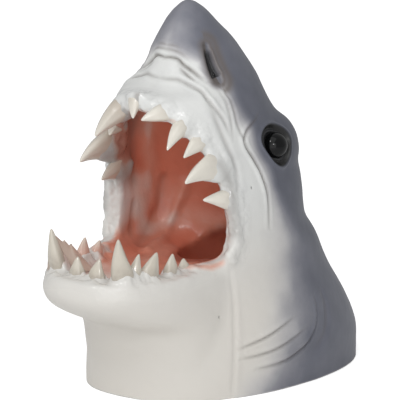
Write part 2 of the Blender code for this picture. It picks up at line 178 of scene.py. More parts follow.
def line_distance(points: np.ndarray, path: np.ndarray) -> np.ndarray:
    """Measures how far points lie from a path.

    Args:
        points: places in millimetres.
        path: the path's closely spaced points.

    Returns:
        The distance from each place to the nearest point of the path.
    """
    nearest = np.full(len(points), 99.0)
    for start in range(0, len(path), 8):
        gap = points[:, None] - path[None, start : start + 8]
        nearest = np.minimum(nearest, np.sqrt((gap**2).sum(2)).min(1))
    return nearest


def ring_mesh(name: str, rings: np.ndarray, tip: Union[np.ndarray, None] = None) -> bpy.types.Mesh:
    """A closed mesh through rings of points.

    Args:
        name: the mesh's name.
        rings: an array of ring, point round the ring, and x y z in millimetres.
        tip: where the last ring closes to a point, or None for a flat end.

    Returns:
        The mesh, in metres.
    """
    count, around = rings.shape[:2]
    points = rings.reshape(-1, 3)
    faces = [tuple(range(around))[::-1]]
    for ring in range(count - 1):
        low, high = ring * around, (ring + 1) * around
        faces += [(low + i, low + (i + 1) % around, high + (i + 1) % around, high + i) for i in range(around)]
    last = (count - 1) * around
    if tip is None:
        faces.append(tuple(range(last, last + around)))
    else:
        points = np.vstack([points, tip])
        faces += [(last + i, last + (i + 1) % around, last + around) for i in range(around)]
    mesh = bpy.data.meshes.new(name)
    mesh.from_pydata((points * MM).tolist(), [], faces)
    bm = bmesh.new()
    bm.from_mesh(mesh)
    bmesh.ops.recalc_face_normals(bm, faces=bm.faces)
    bm.to_mesh(mesh)
    bm.free()
    mesh.shade_smooth()
    return mesh


def tube_mesh(name: str, path: np.ndarray, radii: np.ndarray, around: int = 20) -> bpy.types.Mesh:
    """A round tube with rounded ends along a path in millimetres, with its own radius at each point.

    Args:
        name: the mesh's name.
        path: the middle of the tube, point by point.
        radii: the tube's radius at each point.
        around: how many points go round it.

    Returns:
        The mesh, in metres.
    """
    ahead = unit(np.gradient(path, axis=0))
    across = unit(np.cross(ahead, (0.0, 0.0, 1.0)) + np.array((1e-6, 0.0, 0.0)))
    for i in range(1, len(path)):
        level = across[i - 1] - ahead[i] * (across[i - 1] @ ahead[i])
        across[i] = level / np.linalg.norm(level)
    upward = np.cross(across, ahead)
    turn = np.linspace(0.0, math.tau, around, endpoint=False)
    circle = across[:, None] * np.cos(turn)[None, :, None] + upward[:, None] * np.sin(turn)[None, :, None]
    return ring_mesh(name, path[:, None] + circle * np.asarray(radii)[:, None, None])


def facing(outward: Sequence[float]) -> np.ndarray:
    """The directions across and up as seen from outside, and the direction straight out, as rows.

    Args:
        outward: a direction out of the object, not straight up.

    Returns:
        Three directions as rows, each at length 1.
    """
    depth = unit(np.asarray(outward, float))
    across = unit(np.cross((0.0, 0.0, 1.0), depth))
    return np.array((across, np.cross(depth, across), depth))


def ball_mesh(
    name: str,
    radii: Sequence[float],
    centre: np.ndarray,
    axes: np.ndarray,
    segments: int = 40,
) -> bpy.types.Mesh:
    """A closed ellipsoid in millimetres, whose radii lie along the rows of axes.

    Args:
        name: the mesh's name.
        radii: its three radii.
        centre: its middle.
        axes: the directions of the radii, as rows.
        segments: how many points go round it.

    Returns:
        The mesh, in metres.
    """
    bm = bmesh.new()
    bmesh.ops.create_uvsphere(bm, u_segments=segments, v_segments=segments // 2, radius=1.0)
    turn = Matrix([[float(v) for v in row] for row in axes]).transposed().to_4x4()
    bm.transform(Matrix.Scale(MM, 4) @ Matrix.Translation(centre) @ turn @ Matrix.Diagonal((*radii, 1.0)))
    mesh = bpy.data.meshes.new(name)
    bm.to_mesh(mesh)
    bm.free()
    mesh.shade_smooth()
    return mesh


def new_piece(name: str, mesh: bpy.types.Mesh) -> bpy.types.Object:
    """An object of the scene that shows a mesh.

    Args:
        name: the object's name.
        mesh: what it shows.

    Returns:
        The object, in the scene's collection.
    """
    piece = bpy.data.objects.new(name, mesh)
    bpy.context.scene.collection.objects.link(piece)
    return piece


def both_sides(mesh: bpy.types.Mesh) -> list[bpy.types.Object]:
    """A left shape and its mirrored twin on the right, as working objects.

    Args:
        mesh: the shape on the shark's left.

    Returns:
        Both objects.
    """
    twin = mesh.copy()
    twin.transform(Matrix.Scale(-1.0, 4, (1, 0, 0)))
    twin.flip_normals()
    return [new_piece(mesh.name, mesh), new_piece(mesh.name, twin)]


def settle(piece: bpy.types.Object) -> None:
    """Makes what a piece's modifiers show its own mesh.

    Args:
        piece: the object, whose modifiers are gone afterwards.
    """
    graph = bpy.context.evaluated_depsgraph_get()
    shown = bpy.data.meshes.new_from_object(piece.evaluated_get(graph))
    piece.modifiers.clear()
    piece.data = shown


def take_in(whole: bmesh.types.BMesh, mesh: bpy.types.Mesh) -> list[bmesh.types.BMVert]:
    """Puts a mesh into a larger one and removes it.

    Args:
        whole: the larger mesh.
        mesh: the mesh that goes into it.

    Returns:
        The mesh's vertices in the larger one.
    """
    before = len(whole.verts)
    whole.from_mesh(mesh)
    whole.verts.ensure_lookup_table()
    bpy.data.meshes.remove(mesh)
    return whole.verts[before:]


def gather(body: bpy.types.Object, shapes: Sequence[bpy.types.Object]) -> None:
    """Puts overlapping shapes into a body's mesh as they are, for the clay step to fuse, and removes them.

    Args:
        body: the object that takes them in.
        shapes: the objects that go into it.
    """
    bm = bmesh.new()
    bm.from_mesh(body.data)
    for shape in shapes:
        bm.from_mesh(shape.data)
        bpy.data.objects.remove(shape)
    bm.to_mesh(body.data)
    bm.free()


def combine(body: bpy.types.Object, shapes: Sequence[bpy.types.Object], step: Boolean) -> None:
    """Joins shapes to a body or cuts them from it, and removes them.

    Args:
        body: the object that changes.
        shapes: the objects that are joined or cut, which may overlap.
        step: whether they are joined or cut.
    """
    group = bpy.data.collections.new("shapes")
    for shape in shapes:
        group.objects.link(shape)
    modifier = body.modifiers.new("step", "BOOLEAN")
    modifier.operation = step.value
    modifier.operand_type = "COLLECTION"
    modifier.collection = group
    modifier.solver = "EXACT"
    modifier.use_self = step is Boolean.JOIN
    settle(body)
    for shape in shapes:
        bpy.data.objects.remove(shape)
    bpy.data.collections.remove(group)


# ---------------------------------------------------------------------------
# Finishes
# ---------------------------------------------------------------------------


def linear(colour: str) -> tuple[float, float, float, float]:
    """An sRGB hex colour, such as #DAD8D3, as Blender's linear red, green, blue and alpha.

    Args:
        colour: the hex text, with its leading mark.

    Returns:
        The colour as Blender's sockets take it.
    """
    parts = [int(colour[i : i + 2], 16) / 255.0 for i in (1, 3, 5)]
    straight = [c / 12.92 if c <= 0.04045 else ((c + 0.055) / 1.055) ** 2.4 for c in parts]
    return (*straight, 1.0)


def add_node(
    tree: bpy.types.NodeTree,
    kind: str,
    settings: Union[dict, None] = None,
    sockets: Union[dict, None] = None,
) -> bpy.types.Node:
    """Adds a node with its settings and links.

    Args:
        tree: the material's or world's node tree.
        kind: Blender's name of the node's type.
        settings: the node's own properties. "stops" gives a colour ramp its places and hex colours.
        sockets: values for its inputs, or the outputs that are linked to them. A hex text is a colour.

    Returns:
        The new node.
    """
    node = tree.nodes.new(kind)
    for name, value in (settings or {}).items():
        if name == "stops":
            ramp = node.color_ramp
            while len(ramp.elements) < len(value):
                ramp.elements.new(1.0)
            for element, (place, colour) in zip(ramp.elements, value):
                element.position = place
                element.color = linear(colour)
        else:
            setattr(node, name, value)
    for name, value in (sockets or {}).items():
        if isinstance(value, bpy.types.NodeSocket):
            tree.links.new(value, node.inputs[name])
        elif isinstance(value, str):
            node.inputs[name].default_value = linear(value)
        else:
            node.inputs[name].default_value = value
    return node


# A Mix node's colour inputs and output are told apart by number
MIX_A, MIX_B, MIX_RESULT = 6, 7, 2


@dataclass(frozen=True)
class PaintedPolyresin:
    """Cast polyester resin, airbrushed with acrylic paint by hand and sealed with a gloss lacquer.

    To the eye: soft fades from white to slate with no hard edge, faint mottling where the spray overlaps,
    painted shade darkening the creases, the recesses and the lower half, and a thin even shine that breaks up over
    the sculptor's small lumps.
    """

    # The lower half's white is darker and warmer: painted shade away from the top light
    warm_shaded_white: str = "#DDD9D2"
    slate_stops: tuple = (
        (0.0, "#E1E2E0"),
        (0.25, "#C1C0C2"),
        (0.5, "#93939A"),
        (0.75, "#6F717C"),
        (1.0, "#595C68"),
    )
    lining_stops: tuple = (
        (0.0, "#E0DEDA"),
        (0.3, "#DFC5B9"),
        (0.6, "#D9957F"),
        (1.0, "#D27D64"),
    )
    blush: str = "#DDB9AA"
    # The throat's dark brown: partly paint, partly painted shade of its depth
    gullet: str = "#8F4A37"
    black: str = "#161616"
    # Brown painted shade for the creases, the recesses and between the teeth, also used round the nostrils
    umber: str = "#6B625C"
    roughness: float = 0.5
    # The lacquer is thin and satin on the skin, and thick and glossy on the gums
    lacquer: tuple[float, float] = (0.22, 0.95)
    lacquer_roughness: tuple[float, float] = (0.3, 0.08)
    ior: float = 1.5
    # The lining's paint covers the skin's from this strength on
    lining_edge: float = 0.12
    # The spray overlaps about every 14 mm, and each coat gets that much stronger or weaker there
    mottle_mm: float = 14.0
    mottle: float = 0.05
    # The lacquer on the gums ripples every 2.5 mm or so, by up to about 1.2 mm
    ripple_mm: float = 2.5
    ripple_height_mm: float = 1.2
    ripple: float = 0.35

    def build(self) -> bpy.types.Material:
        """Builds the material, which reads each coat from its mesh attribute.

        Returns:
            The material.
        """
        material = bpy.data.materials.new("painted_polyresin")
        material.use_nodes = True
        tree = material.node_tree
        shader = tree.nodes["Principled BSDF"]
        place = add_node(tree, "ShaderNodeTexCoord").outputs["Object"]
        mottle = add_node(
            tree,
            "ShaderNodeTexNoise",
            sockets={"Vector": place, "Scale": 1.0 / (self.mottle_mm * MM), "Detail": 4.0, "Roughness": 0.55},
        ).outputs["Fac"]
        offset = add_node(
            tree,
            "ShaderNodeMapRange",
            sockets={"Value": mottle, "From Min": 0.3, "From Max": 0.7, "To Min": -self.mottle, "To Max": self.mottle},
        ).outputs["Result"]
        coats = {
            coat: add_node(tree, "ShaderNodeAttribute", {"attribute_name": coat.value}).outputs["Fac"]
            for coat in Coat
        }
        strengths = {}
        for coat in (Coat.SLATE, Coat.LINING):
            strengths[coat] = add_node(
                tree,
                "ShaderNodeMath",
                {"operation": "MULTIPLY_ADD", "use_clamp": True},
                {0: offset, 1: 1.0, 2: coats[coat]},
            ).outputs["Value"]
        colour = add_node(
            tree, "ShaderNodeValToRGB", {"stops": self.slate_stops}, {"Fac": strengths[Coat.SLATE]}
        ).outputs["Color"]
        lining = add_node(
            tree, "ShaderNodeValToRGB", {"stops": self.lining_stops}, {"Fac": strengths[Coat.LINING]}
        ).outputs["Color"]
        inside = add_node(
            tree,
            "ShaderNodeMapRange",
            sockets={"Value": coats[Coat.LINING], "From Min": 0.0, "From Max": self.lining_edge},
        ).outputs["Result"]
        # The warm white, the gullet's brown and the umber also paint in shade
        layers = (
            (coats[Coat.WARM], self.warm_shaded_white),
            (inside, lining),
            (coats[Coat.BLUSH], self.blush),
            (coats[Coat.GULLET], self.gullet),
            (coats[Coat.UMBER], self.umber),
            (coats[Coat.BLACK], self.black),
        )
        for strength, paint in layers:
            colour = add_node(
                tree, "ShaderNodeMix", {"data_type": "RGBA"}, {0: strength, MIX_A: colour, MIX_B: paint}
            ).outputs[MIX_RESULT]
        tree.links.new(colour, shader.inputs["Base Color"])
        ripple = add_node(
            tree,
            "ShaderNodeTexNoise",
            sockets={"Vector": place, "Scale": 1.0 / (self.ripple_mm * MM), "Detail": 3.0, "Roughness": 0.5},
        ).outputs["Fac"]
        height = add_node(
            tree,
            "ShaderNodeMath",
            {"operation": "MULTIPLY"},
            {0: ripple, 1: coats[Coat.WET]},
        ).outputs["Value"]
        relief = add_node(
            tree,
            "ShaderNodeBump",
            sockets={"Height": height, "Strength": self.ripple, "Distance": self.ripple_height_mm * MM},
        ).outputs["Normal"]
        tree.links.new(relief, shader.inputs["Normal"])
        tree.links.new(relief, shader.inputs["Coat Normal"])
        shader.inputs["Roughness"].default_value = self.roughness
        shader.inputs["IOR"].default_value = self.ior
        for socket, (skin, gum) in (("Coat Weight", self.lacquer), ("Coat Roughness", self.lacquer_roughness)):
            value = add_node(
                tree, "ShaderNodeMapRange", sockets={"Value": coats[Coat.WET], "To Min": skin, "To Max": gum}
            ).outputs["Result"]
            tree.links.new(value, shader.inputs[socket])
        return material


@dataclass(frozen=True)
class IvoryPaint:
    """Cast resin teeth, brushed with ivory acrylic and lacquered, with brown painted shade at their roots.

    To the eye: warm off-white, a little darker and browner where a tooth leaves the gum, which is painted shade, with
    a wet shine.
    """

    name: str = "ivory_paint"
    ivory: str = "#E6E1D6"
    # The root colour is painted shade where a tooth leaves the gum
    root: str = "#CFC9BE"
    tint: str = "#AC9A89"
    roughness: float = 0.3
    lacquer: float = 0.8
    lacquer_roughness: float = 0.1
    # Brush marks are about 3 mm apart and stand up to 0.6 mm proud
    brush_mm: float = 3.0
    brush_height_mm: float = 0.6
    brush: float = 0.2

    def build(self) -> bpy.types.Material:
        """Builds the material, which reads each tooth's root and the lining's pink from mesh attributes.

        Returns:
            The material.
        """
        material = bpy.data.materials.new(self.name)
        material.use_nodes = True
        tree = material.node_tree
        shader = tree.nodes["Principled BSDF"]
        place = add_node(tree, "ShaderNodeTexCoord").outputs["Object"]
        root = add_node(tree, "ShaderNodeAttribute", {"attribute_name": "root"}).outputs["Fac"]
        pink = add_node(tree, "ShaderNodeAttribute", {"attribute_name": "pink"}).outputs["Fac"]
        marks = add_node(
            tree, "ShaderNodeTexNoise", sockets={"Vector": place, "Scale": 1.0 / (self.brush_mm * MM), "Detail": 3.0}
        ).outputs["Fac"]
        # Painted shade: darker towards the root, broken up by the brush marks
        painted_shade = add_node(
            tree, "ShaderNodeMath", {"operation": "MULTIPLY", "use_clamp": True}, {0: root, 1: marks}
        ).outputs["Value"]
        colour = add_node(
            tree, "ShaderNodeMix", {"data_type": "RGBA"}, {0: painted_shade, MIX_A: self.ivory, MIX_B: self.root}
        ).outputs[MIX_RESULT]
        colour = add_node(
            tree, "ShaderNodeMix", {"data_type": "RGBA"}, {0: pink, MIX_A: colour, MIX_B: self.tint}
        ).outputs[MIX_RESULT]
        tree.links.new(colour, shader.inputs["Base Color"])
        relief = add_node(
            tree,
            "ShaderNodeBump",
            sockets={"Height": marks, "Strength": self.brush, "Distance": self.brush_height_mm * MM},
        ).outputs["Normal"]
        tree.links.new(relief, shader.inputs["Normal"])
        shader.inputs["Roughness"].default_value = self.roughness
        shader.inputs["Coat Weight"].default_value = self.lacquer
        shader.inputs["Coat Roughness"].default_value = self.lacquer_roughness
        return material


@dataclass(frozen=True)
class BlackGlossPaint:
    """Black enamel paint over the cast eyeball, thick enough to level itself.

    To the eye: a near-black bead with sharp small reflections.
    """

    black: str = "#08090A"
    roughness: float = 0.06
    shine: float = 0.28
    # Dust under the paint shows as grey specks about 1 mm apart
    dust: str = "#2A2B2C"
    dust_mm: float = 1.0

    def build(self) -> bpy.types.Material:
        """Builds the material.

        Returns:
            The material.
        """
        material = bpy.data.materials.new("black_gloss_paint")
        material.use_nodes = True
        tree = material.node_tree
        shader = tree.nodes["Principled BSDF"]
        place = add_node(tree, "ShaderNodeTexCoord").outputs["Object"]
        specks = add_node(
            tree, "ShaderNodeTexNoise", sockets={"Vector": place, "Scale": 1.0 / (self.dust_mm * MM), "Detail": 2.0}
        ).outputs["Fac"]
        colour = add_node(
            tree,
            "ShaderNodeValToRGB",
            {"stops": ((0.0, self.black), (0.7, self.black), (1.0, self.dust))},
            {"Fac": specks},
        ).outputs["Color"]
        tree.links.new(colour, shader.inputs["Base Color"])
        shader.inputs["Roughness"].default_value = self.roughness
        shader.inputs["Specular IOR Level"].default_value = self.shine
        return material


@dataclass(frozen=True)
class PaperSweep:
    """Matt white paper under the figurine, lit as evenly as the figurine is."""

    paper: str = "#FAFAFA"
    roughness: float = 0.9
    lift: float = 0.6

    def build(self) -> bpy.types.Material:
        """Builds the material, whose lift to white only the camera sees.

        Returns:
            The material.
        """
        material = bpy.data.materials.new("paper_sweep")
        material.use_nodes = True
        tree = material.node_tree
        shader = tree.nodes["Principled BSDF"]
        path = add_node(tree, "ShaderNodeLightPath")
        lift = add_node(
            tree, "ShaderNodeMath", {"operation": "MULTIPLY"}, {0: path.outputs["Is Camera Ray"], 1: self.lift}
        ).outputs["Value"]
        shader.inputs["Base Color"].default_value = linear(self.paper)
        shader.inputs["Roughness"].default_value = self.roughness
        shader.inputs["Emission Color"].default_value = linear("#FFFFFF")
        tree.links.new(lift, shader.inputs["Emission Strength"])
        return material


# ---------------------------------------------------------------------------
# Forms
# ---------------------------------------------------------------------------


@dataclass(frozen=True)
class LevelLoft:
    """A body with level sections.

    Each station holds its height, the y of its widest point, its half width, its reach to the front and back
    of that point, and how square it is.
    """

    stations: tuple[tuple[float, float, float, float, float, float], ...]
    # How many sections a search along the body looks at
    SAMPLES: ClassVar[int] = 600

    @property
    def table(self) -> np.ndarray:
        """The stations as an array. Past a pointed end the widths turn negative, which rounds that end.

        Returns:
            One row for each station, and one more past a pointed end.
        """
        rows = np.array(self.stations, float)
        if rows[-1, 2] == 0.0:
            extra = rows[-2].copy()
            extra[2:5] *= -1.0
            rows = np.vstack([rows, extra])
        return rows

    def ring(self, row: np.ndarray, turns: np.ndarray) -> np.ndarray:
        """The points of one section at turns in radians. 0 is the shark's left and a quarter is the back.

        Args:
            row: the section's station.
            turns: the directions of the points, in radians.

        Returns:
            The points, in millimetres.
        """
        across, along = np.cos(turns), np.sin(turns)
        share = 2.0 / row[5]
        reach = np.where(along > 0, row[4], row[3])
        return np.stack(
            [
                row[2] * np.sign(across) * np.abs(across) ** share,
                row[1] + reach * np.sign(along) * np.abs(along) ** share,
                np.full_like(across, row[0]),
            ],
            axis=-1,
        )

    def mesh(self, name: str, rings: int, around: int) -> bpy.types.Mesh:
        """The closed mesh of the body.

        Args:
            name: the mesh's name.
            rings: how many sections it has.
            around: how many points go round each.

        Returns:
            The mesh, in metres.
        """
        pointed = self.stations[-1][2] == 0.0
        count = len(self.stations) - 1
        turns = np.linspace(0.0, math.tau, around, endpoint=False)
        rows = spline(self.table, np.linspace(0.0, count, rings))
        if pointed:
            tip = np.array((0.0, self.stations[-1][1], self.stations[-1][0]))
            return ring_mesh(name, np.array([self.ring(row, turns) for row in rows[:-1]]), tip)
        return ring_mesh(name, np.array([self.ring(row, turns) for row in rows]))

    def sampled(self) -> tuple[np.ndarray, np.ndarray]:
        """Closely spaced places along the body, counted in stations, and the section at each."""
        places = np.linspace(0.0, len(self.stations) - 1.0, self.SAMPLES)
        return places, spline(self.table, places)

    def row_at(self, height: float) -> float:
        """The place among the stations, counted in stations, that lies at a height."""
        places, rows = self.sampled()
        return float(np.interp(height, rows[:, 0], places))

    def skin(self, height: float, degrees: float) -> tuple[np.ndarray, np.ndarray]:
        """A point of the skin and the direction straight out of it.

        Args:
            height: the point's height in millimetres.
            degrees: its direction round the body, 0 for the shark's left and 90 for its back.

        Returns:
            The point and the direction.
        """
        row, turn, step = self.row_at(height), math.radians(degrees), 0.02

        def at(place: float, angle: float) -> np.ndarray:
            """The point at a place among the stations and a turn in radians."""
            return self.ring(spline(self.table, place)[0], np.array([angle]))[0]

        around = at(row, turn + step) - at(row, turn - step)
        upward = at(row + step, turn) - at(row - step, turn)
        return at(row, turn), unit(np.cross(around, upward))

    def angles(self, points: np.ndarray) -> np.ndarray:
        """How far round the head each point lies, in degrees: -90 front, 0 side, 90 back, on both sides.

        Args:
            points: places in millimetres.

        Returns:
            One angle for each place.
        """
        _, rows = self.sampled()
        order = np.argsort(rows[:, 0])
        middle, half_width, front, back = (
            np.interp(points[:, 2], rows[order, 0], rows[order, k]) for k in (1, 2, 3, 4)
        )
        along = points[:, 1] - middle
        reach = np.where(along > 0, back, front)
        across = np.abs(points[:, 0]) / np.maximum(half_width, 1.0)
        return np.degrees(np.arctan2(along / np.maximum(reach, 1.0), across))


@dataclass(frozen=True)
class Tooth:
    """A tooth: its place along the jaw in degrees from the middle, its size at the gum, and its tip.

    The tip is given by how far it lies outwards, forwards and upwards of the root, and bow bends the tooth
    back towards the throat. Pink is how much of the lining's paint it caught, and shift moves the root
    outwards, forwards and upwards from the jaw's line.
    """

    place: float
    width: float
    thickness: float
    out: float
    forward: float
    up: float
    bow: float = 1.5
    pink: float = 0.0
    shift: tuple[float, float, float] = (0.0, 0.0, 0.0)


@dataclass(frozen=True)
class Fold:
    """A crease of the skin, as places of height and degrees on the left side.

    Below 0, its depth makes it a ridge. The lip is a low swelling on both sides, as a share of the depth. A step
    above 0 makes the skin behind or above the crease stand proud of the rest. The last number is how dark the
    crease is painted, as shade in it.
    """

    name: str
    places: tuple[tuple[float, float], ...]
    depth: float = 1.0
    width: float = 1.6
    lip: float = 0.35
    step: float = 0.0
    painted_shade: float = 0.35


@dataclass
class Clay:
    """The casting's surface as arrays, which folds and paint change by formula.

    Attributes:
        piece: the object whose mesh this is.
        points: the vertices in millimetres.
        folded: the same with the right side laid over the left.
        normals: the direction straight out at each vertex.
        folded_normals: the same for those directions.
        edges: the numbers of each edge's two vertices.
        paint: for each coat, how strongly it lies at each vertex.
    """

    piece: bpy.types.Object
    points: np.ndarray = field(init=False)
    folded: np.ndarray = field(init=False)
    normals: np.ndarray = field(init=False)
    folded_normals: np.ndarray = field(init=False)
    edges: np.ndarray = field(init=False)
    paint: dict[Coat, np.ndarray] = field(init=False)
    # Skin near a path lies within its box and this margin, no higher off it than this, and faces the same way
    MARGIN: ClassVar[float] = 8.0
    MOST_RAISED: ClassVar[float] = 9.0
    LEAST_TURNED: ClassVar[float] = 0.1

    def __post_init__(self) -> None:
        """Reads the mesh."""
        self.read()
        self.paint = {coat: np.zeros(len(self.points)) for coat in Coat}

    def read(self) -> None:
        """Reads points, normals and edges from the mesh."""
        mesh = self.piece.data
        count = len(mesh.vertices)
        raw = np.empty(count * 3, np.float32)
        mesh.vertices.foreach_get("co", raw)
        self.points = raw.reshape(-1, 3).astype(float) / MM
        mesh.vertices.foreach_get("normal", raw)
        self.normals = raw.reshape(-1, 3).astype(float)
        edges = np.empty(len(mesh.edges) * 2, np.int32)
        mesh.edges.foreach_get("vertices", edges)
        self.edges = edges.reshape(-1, 2)
        self.fold_over()

    def fold_over(self) -> None:
        """Lays the right side over the left."""
        self.folded = self.points * np.where(self.points[:, :1] < 0, (-1.0, 1.0, 1.0), 1.0)
        self.folded_normals = self.normals * np.where(self.points[:, :1] < 0, (-1.0, 1.0, 1.0), 1.0)

    def write(self) -> None:
        """Writes the points back to the mesh and reads its new normals."""
        mesh = self.piece.data
        mesh.vertices.foreach_set("co", (self.points * MM).astype(np.float32).ravel())
        mesh.update()
        raw = np.empty(len(self.points) * 3, np.float32)
        mesh.vertices.foreach_get("normal", raw)
        self.normals = raw.reshape(-1, 3).astype(float)
        self.fold_over()

    def press(self, offsets: np.ndarray) -> None:
        """Moves each vertex along its normal, in millimetres."""
        self.points += self.normals * offsets[:, None]
        self.write()

    def relax(self, rounds: int, share: Union[float, np.ndarray] = 0.5) -> None:
        """Smooths the surface by moving each vertex part of the way to the middle of its neighbours.

        Args:
            rounds: how often that is done.
            share: the part of the way, one for all vertices or one for each.
        """
        low, high = self.edges.T
        count = np.bincount(np.concatenate([low, high]), minlength=len(self.points))[:, None]
        pull = np.broadcast_to(np.asarray(share, float), (len(self.points),))[:, None]
        for _ in range(rounds):
            total = np.zeros_like(self.points)
            np.add.at(total, low, self.points[high])
            np.add.at(total, high, self.points[low])
            self.points += (total / np.maximum(count, 1) - self.points) * pull
        self.write()

    def refine(self, chosen: np.ndarray) -> None:
        """Halves the faces that have a chosen vertex, so that small forms fit there.

        Args:
            chosen: for each vertex, whether it is chosen.
        """
        bm = bmesh.new()
        bm.from_mesh(self.piece.data)
        bm.verts.ensure_lookup_table()
        marked = {bm.verts[i] for i in np.flatnonzero(chosen)}
        faces = {face for vert in marked for face in vert.link_faces}
        edges = list({edge for face in faces for edge in face.edges})
        bmesh.ops.subdivide_edges(bm, edges=edges, cuts=1, use_grid_fill=True)
        bmesh.ops.triangulate(bm, faces=[face for face in bm.faces if len(face.verts) > 4])
        bm.to_mesh(self.piece.data)
        bm.free()
        self.piece.data.update()
        self.__post_init__()

    def near(self, path: np.ndarray, outward: np.ndarray, reach: float) -> tuple[np.ndarray, ...]:
        """Finds the skin that lies near a path of the left side.

        Args:
            path: points in millimetres.
            outward: the direction straight out of the skin at each point.
            reach: how far from the path to look, along the skin.

        Returns:
            The vertices' numbers, their distances along the skin, their shares of the way along the path, and
            on which side of it they lie.
        """
        margin = reach + self.MARGIN
        inside = (self.folded > path.min(0) - margin) & (self.folded < path.max(0) + margin)
        index = np.flatnonzero(inside.all(axis=1))
        gap = self.folded[index][:, None] - path[None]
        nearest = np.einsum("ijk,ijk->ij", gap, gap).argmin(1)
        gap = gap[np.arange(len(index)), nearest]
        turned = np.einsum("ij,ij->i", self.folded_normals[index], outward[nearest])
        raised = np.einsum("ij,ij->i", gap, outward[nearest])
        flat = gap - outward[nearest] * raised[:, None]
        ahead = unit(np.gradient(path, axis=0))[nearest]
        step = np.linalg.norm(path[1] - path[0])
        onward = np.clip(np.einsum("ij,ij->i", flat, ahead), -step, step)
        flat -= ahead * onward[:, None]
        distance = np.linalg.norm(flat, axis=1)
        side = np.sign(np.einsum("ij,ij->i", flat, np.cross(outward[nearest], ahead)))
        kept = (distance < reach) & (turned > self.LEAST_TURNED) & (np.abs(raised) < self.MOST_RAISED)
        share = (nearest + onward / step) / (len(path) - 1)
        return index[kept], distance[kept], np.clip(share[kept], 0.0, 1.0), side[kept]

    def coat(self, coat: Coat, strength: np.ndarray, index: Union[np.ndarray, None] = None) -> None:
        """Lays a coat of paint where it is stronger than what is there.

        Args:
            coat: the paint.
            strength: its strength at each vertex, or at each one that index names.
            index: the numbers of the painted vertices, or None for all of them.
        """
        if index is None:
            self.paint[coat] = np.maximum(self.paint[coat], strength)
        else:
            np.maximum.at(self.paint[coat], index, strength)

    def hand_over(self) -> None:
        """Gives the mesh its coats as attributes."""
        for coat, strength in self.paint.items():
            attribute = self.piece.data.attributes.new(coat.value, "FLOAT", "POINT")
            attribute.data.foreach_set("value", np.clip(strength, 0.0, 1.0).astype(np.float32))


@dataclass(frozen=True)
class Neck:
    """The head's own body, from the cut neck up to the tip of the snout."""

    # Height, y of the widest point, half width, reach to the front, reach to the back, squareness
    form: LevelLoft = LevelLoft(
        (
            (-12.0, 0.0, 66.5, 97.5, 98.0, 2.25),
            (8.0, 0.0, 67.0, 97.5, 98.5, 2.25),
            (22.0, 0.0, 67.5, 96.5, 98.5, 2.2),
            (42.0, 0.0, 65.5, 92.5, 87.5, 2.2),
            (64.0, -3.0, 61.5, 90.0, 74.0, 2.2),
            (87.0, -6.0, 59.0, 90.0, 63.0, 2.2),
            (102.0, -11.0, 57.5, 86.0, 57.0, 2.2),
            (127.0, -15.0, 57.0, 76.0, 58.0, 2.2),
            (152.0, -16.0, 51.0, 70.0, 50.0, 2.2),
            (175.0, -26.0, 45.0, 56.0, 48.0, 2.1),
            (186.0, -27.0, 40.0, 49.5, 45.0, 2.0),
            (192.0, -25.5, 36.0, 38.5, 41.0, 2.0),
            (202.0, -24.5, 30.0, 32.0, 34.0, 2.0),
            (214.0, -25.5, 24.0, 28.5, 26.0, 2.0),
            (226.0, -28.5, 16.5, 19.5, 17.0, 2.0),
            (236.0, -30.5, 9.0, 10.5, 9.5, 2.0),
            (242.0, -32.0, 0.0, 0.0, 0.0, 2.0),
        )
    )
    # The brows' height and degrees on the skin, their radii, and how far they stand out
    brow_place: tuple[float, float] = (151.5, 34.0)
    brow_radii: tuple[float, float, float] = (38.0, 30.0, 38.0)
    brow_proud: float = 5.6
    # How finely the body is meshed before the clay step
    rings: int = 150
    around: int = 160

    def body(self) -> bpy.types.Object:
        """The plain body."""
        return new_piece("head_casting", self.form.mesh("head_casting", self.rings, self.around))

    def brows(self) -> list[bpy.types.Object]:
        """A broad, low mound behind each eye.

        Returns:
            Both mounds.
        """
        place, outward = self.form.skin(*self.brow_place)
        centre = place - outward * (self.brow_radii[2] - self.brow_proud)
        return both_sides(ball_mesh("brow", self.brow_radii, centre, facing(outward)))

    def ground(self) -> list[bpy.types.Object]:
        """A block below the figurine, which trims the foot flat.

        Returns:
            The block, alone in a list.
        """
        bm = bmesh.new()
        bmesh.ops.create_cube(bm, size=0.5)
        bm.transform(Matrix.Translation((0.0, 0.0, -0.25)))
        mesh = bpy.data.meshes.new("ground")
        bm.to_mesh(mesh)
        bm.free()
        return [new_piece("ground", mesh)]


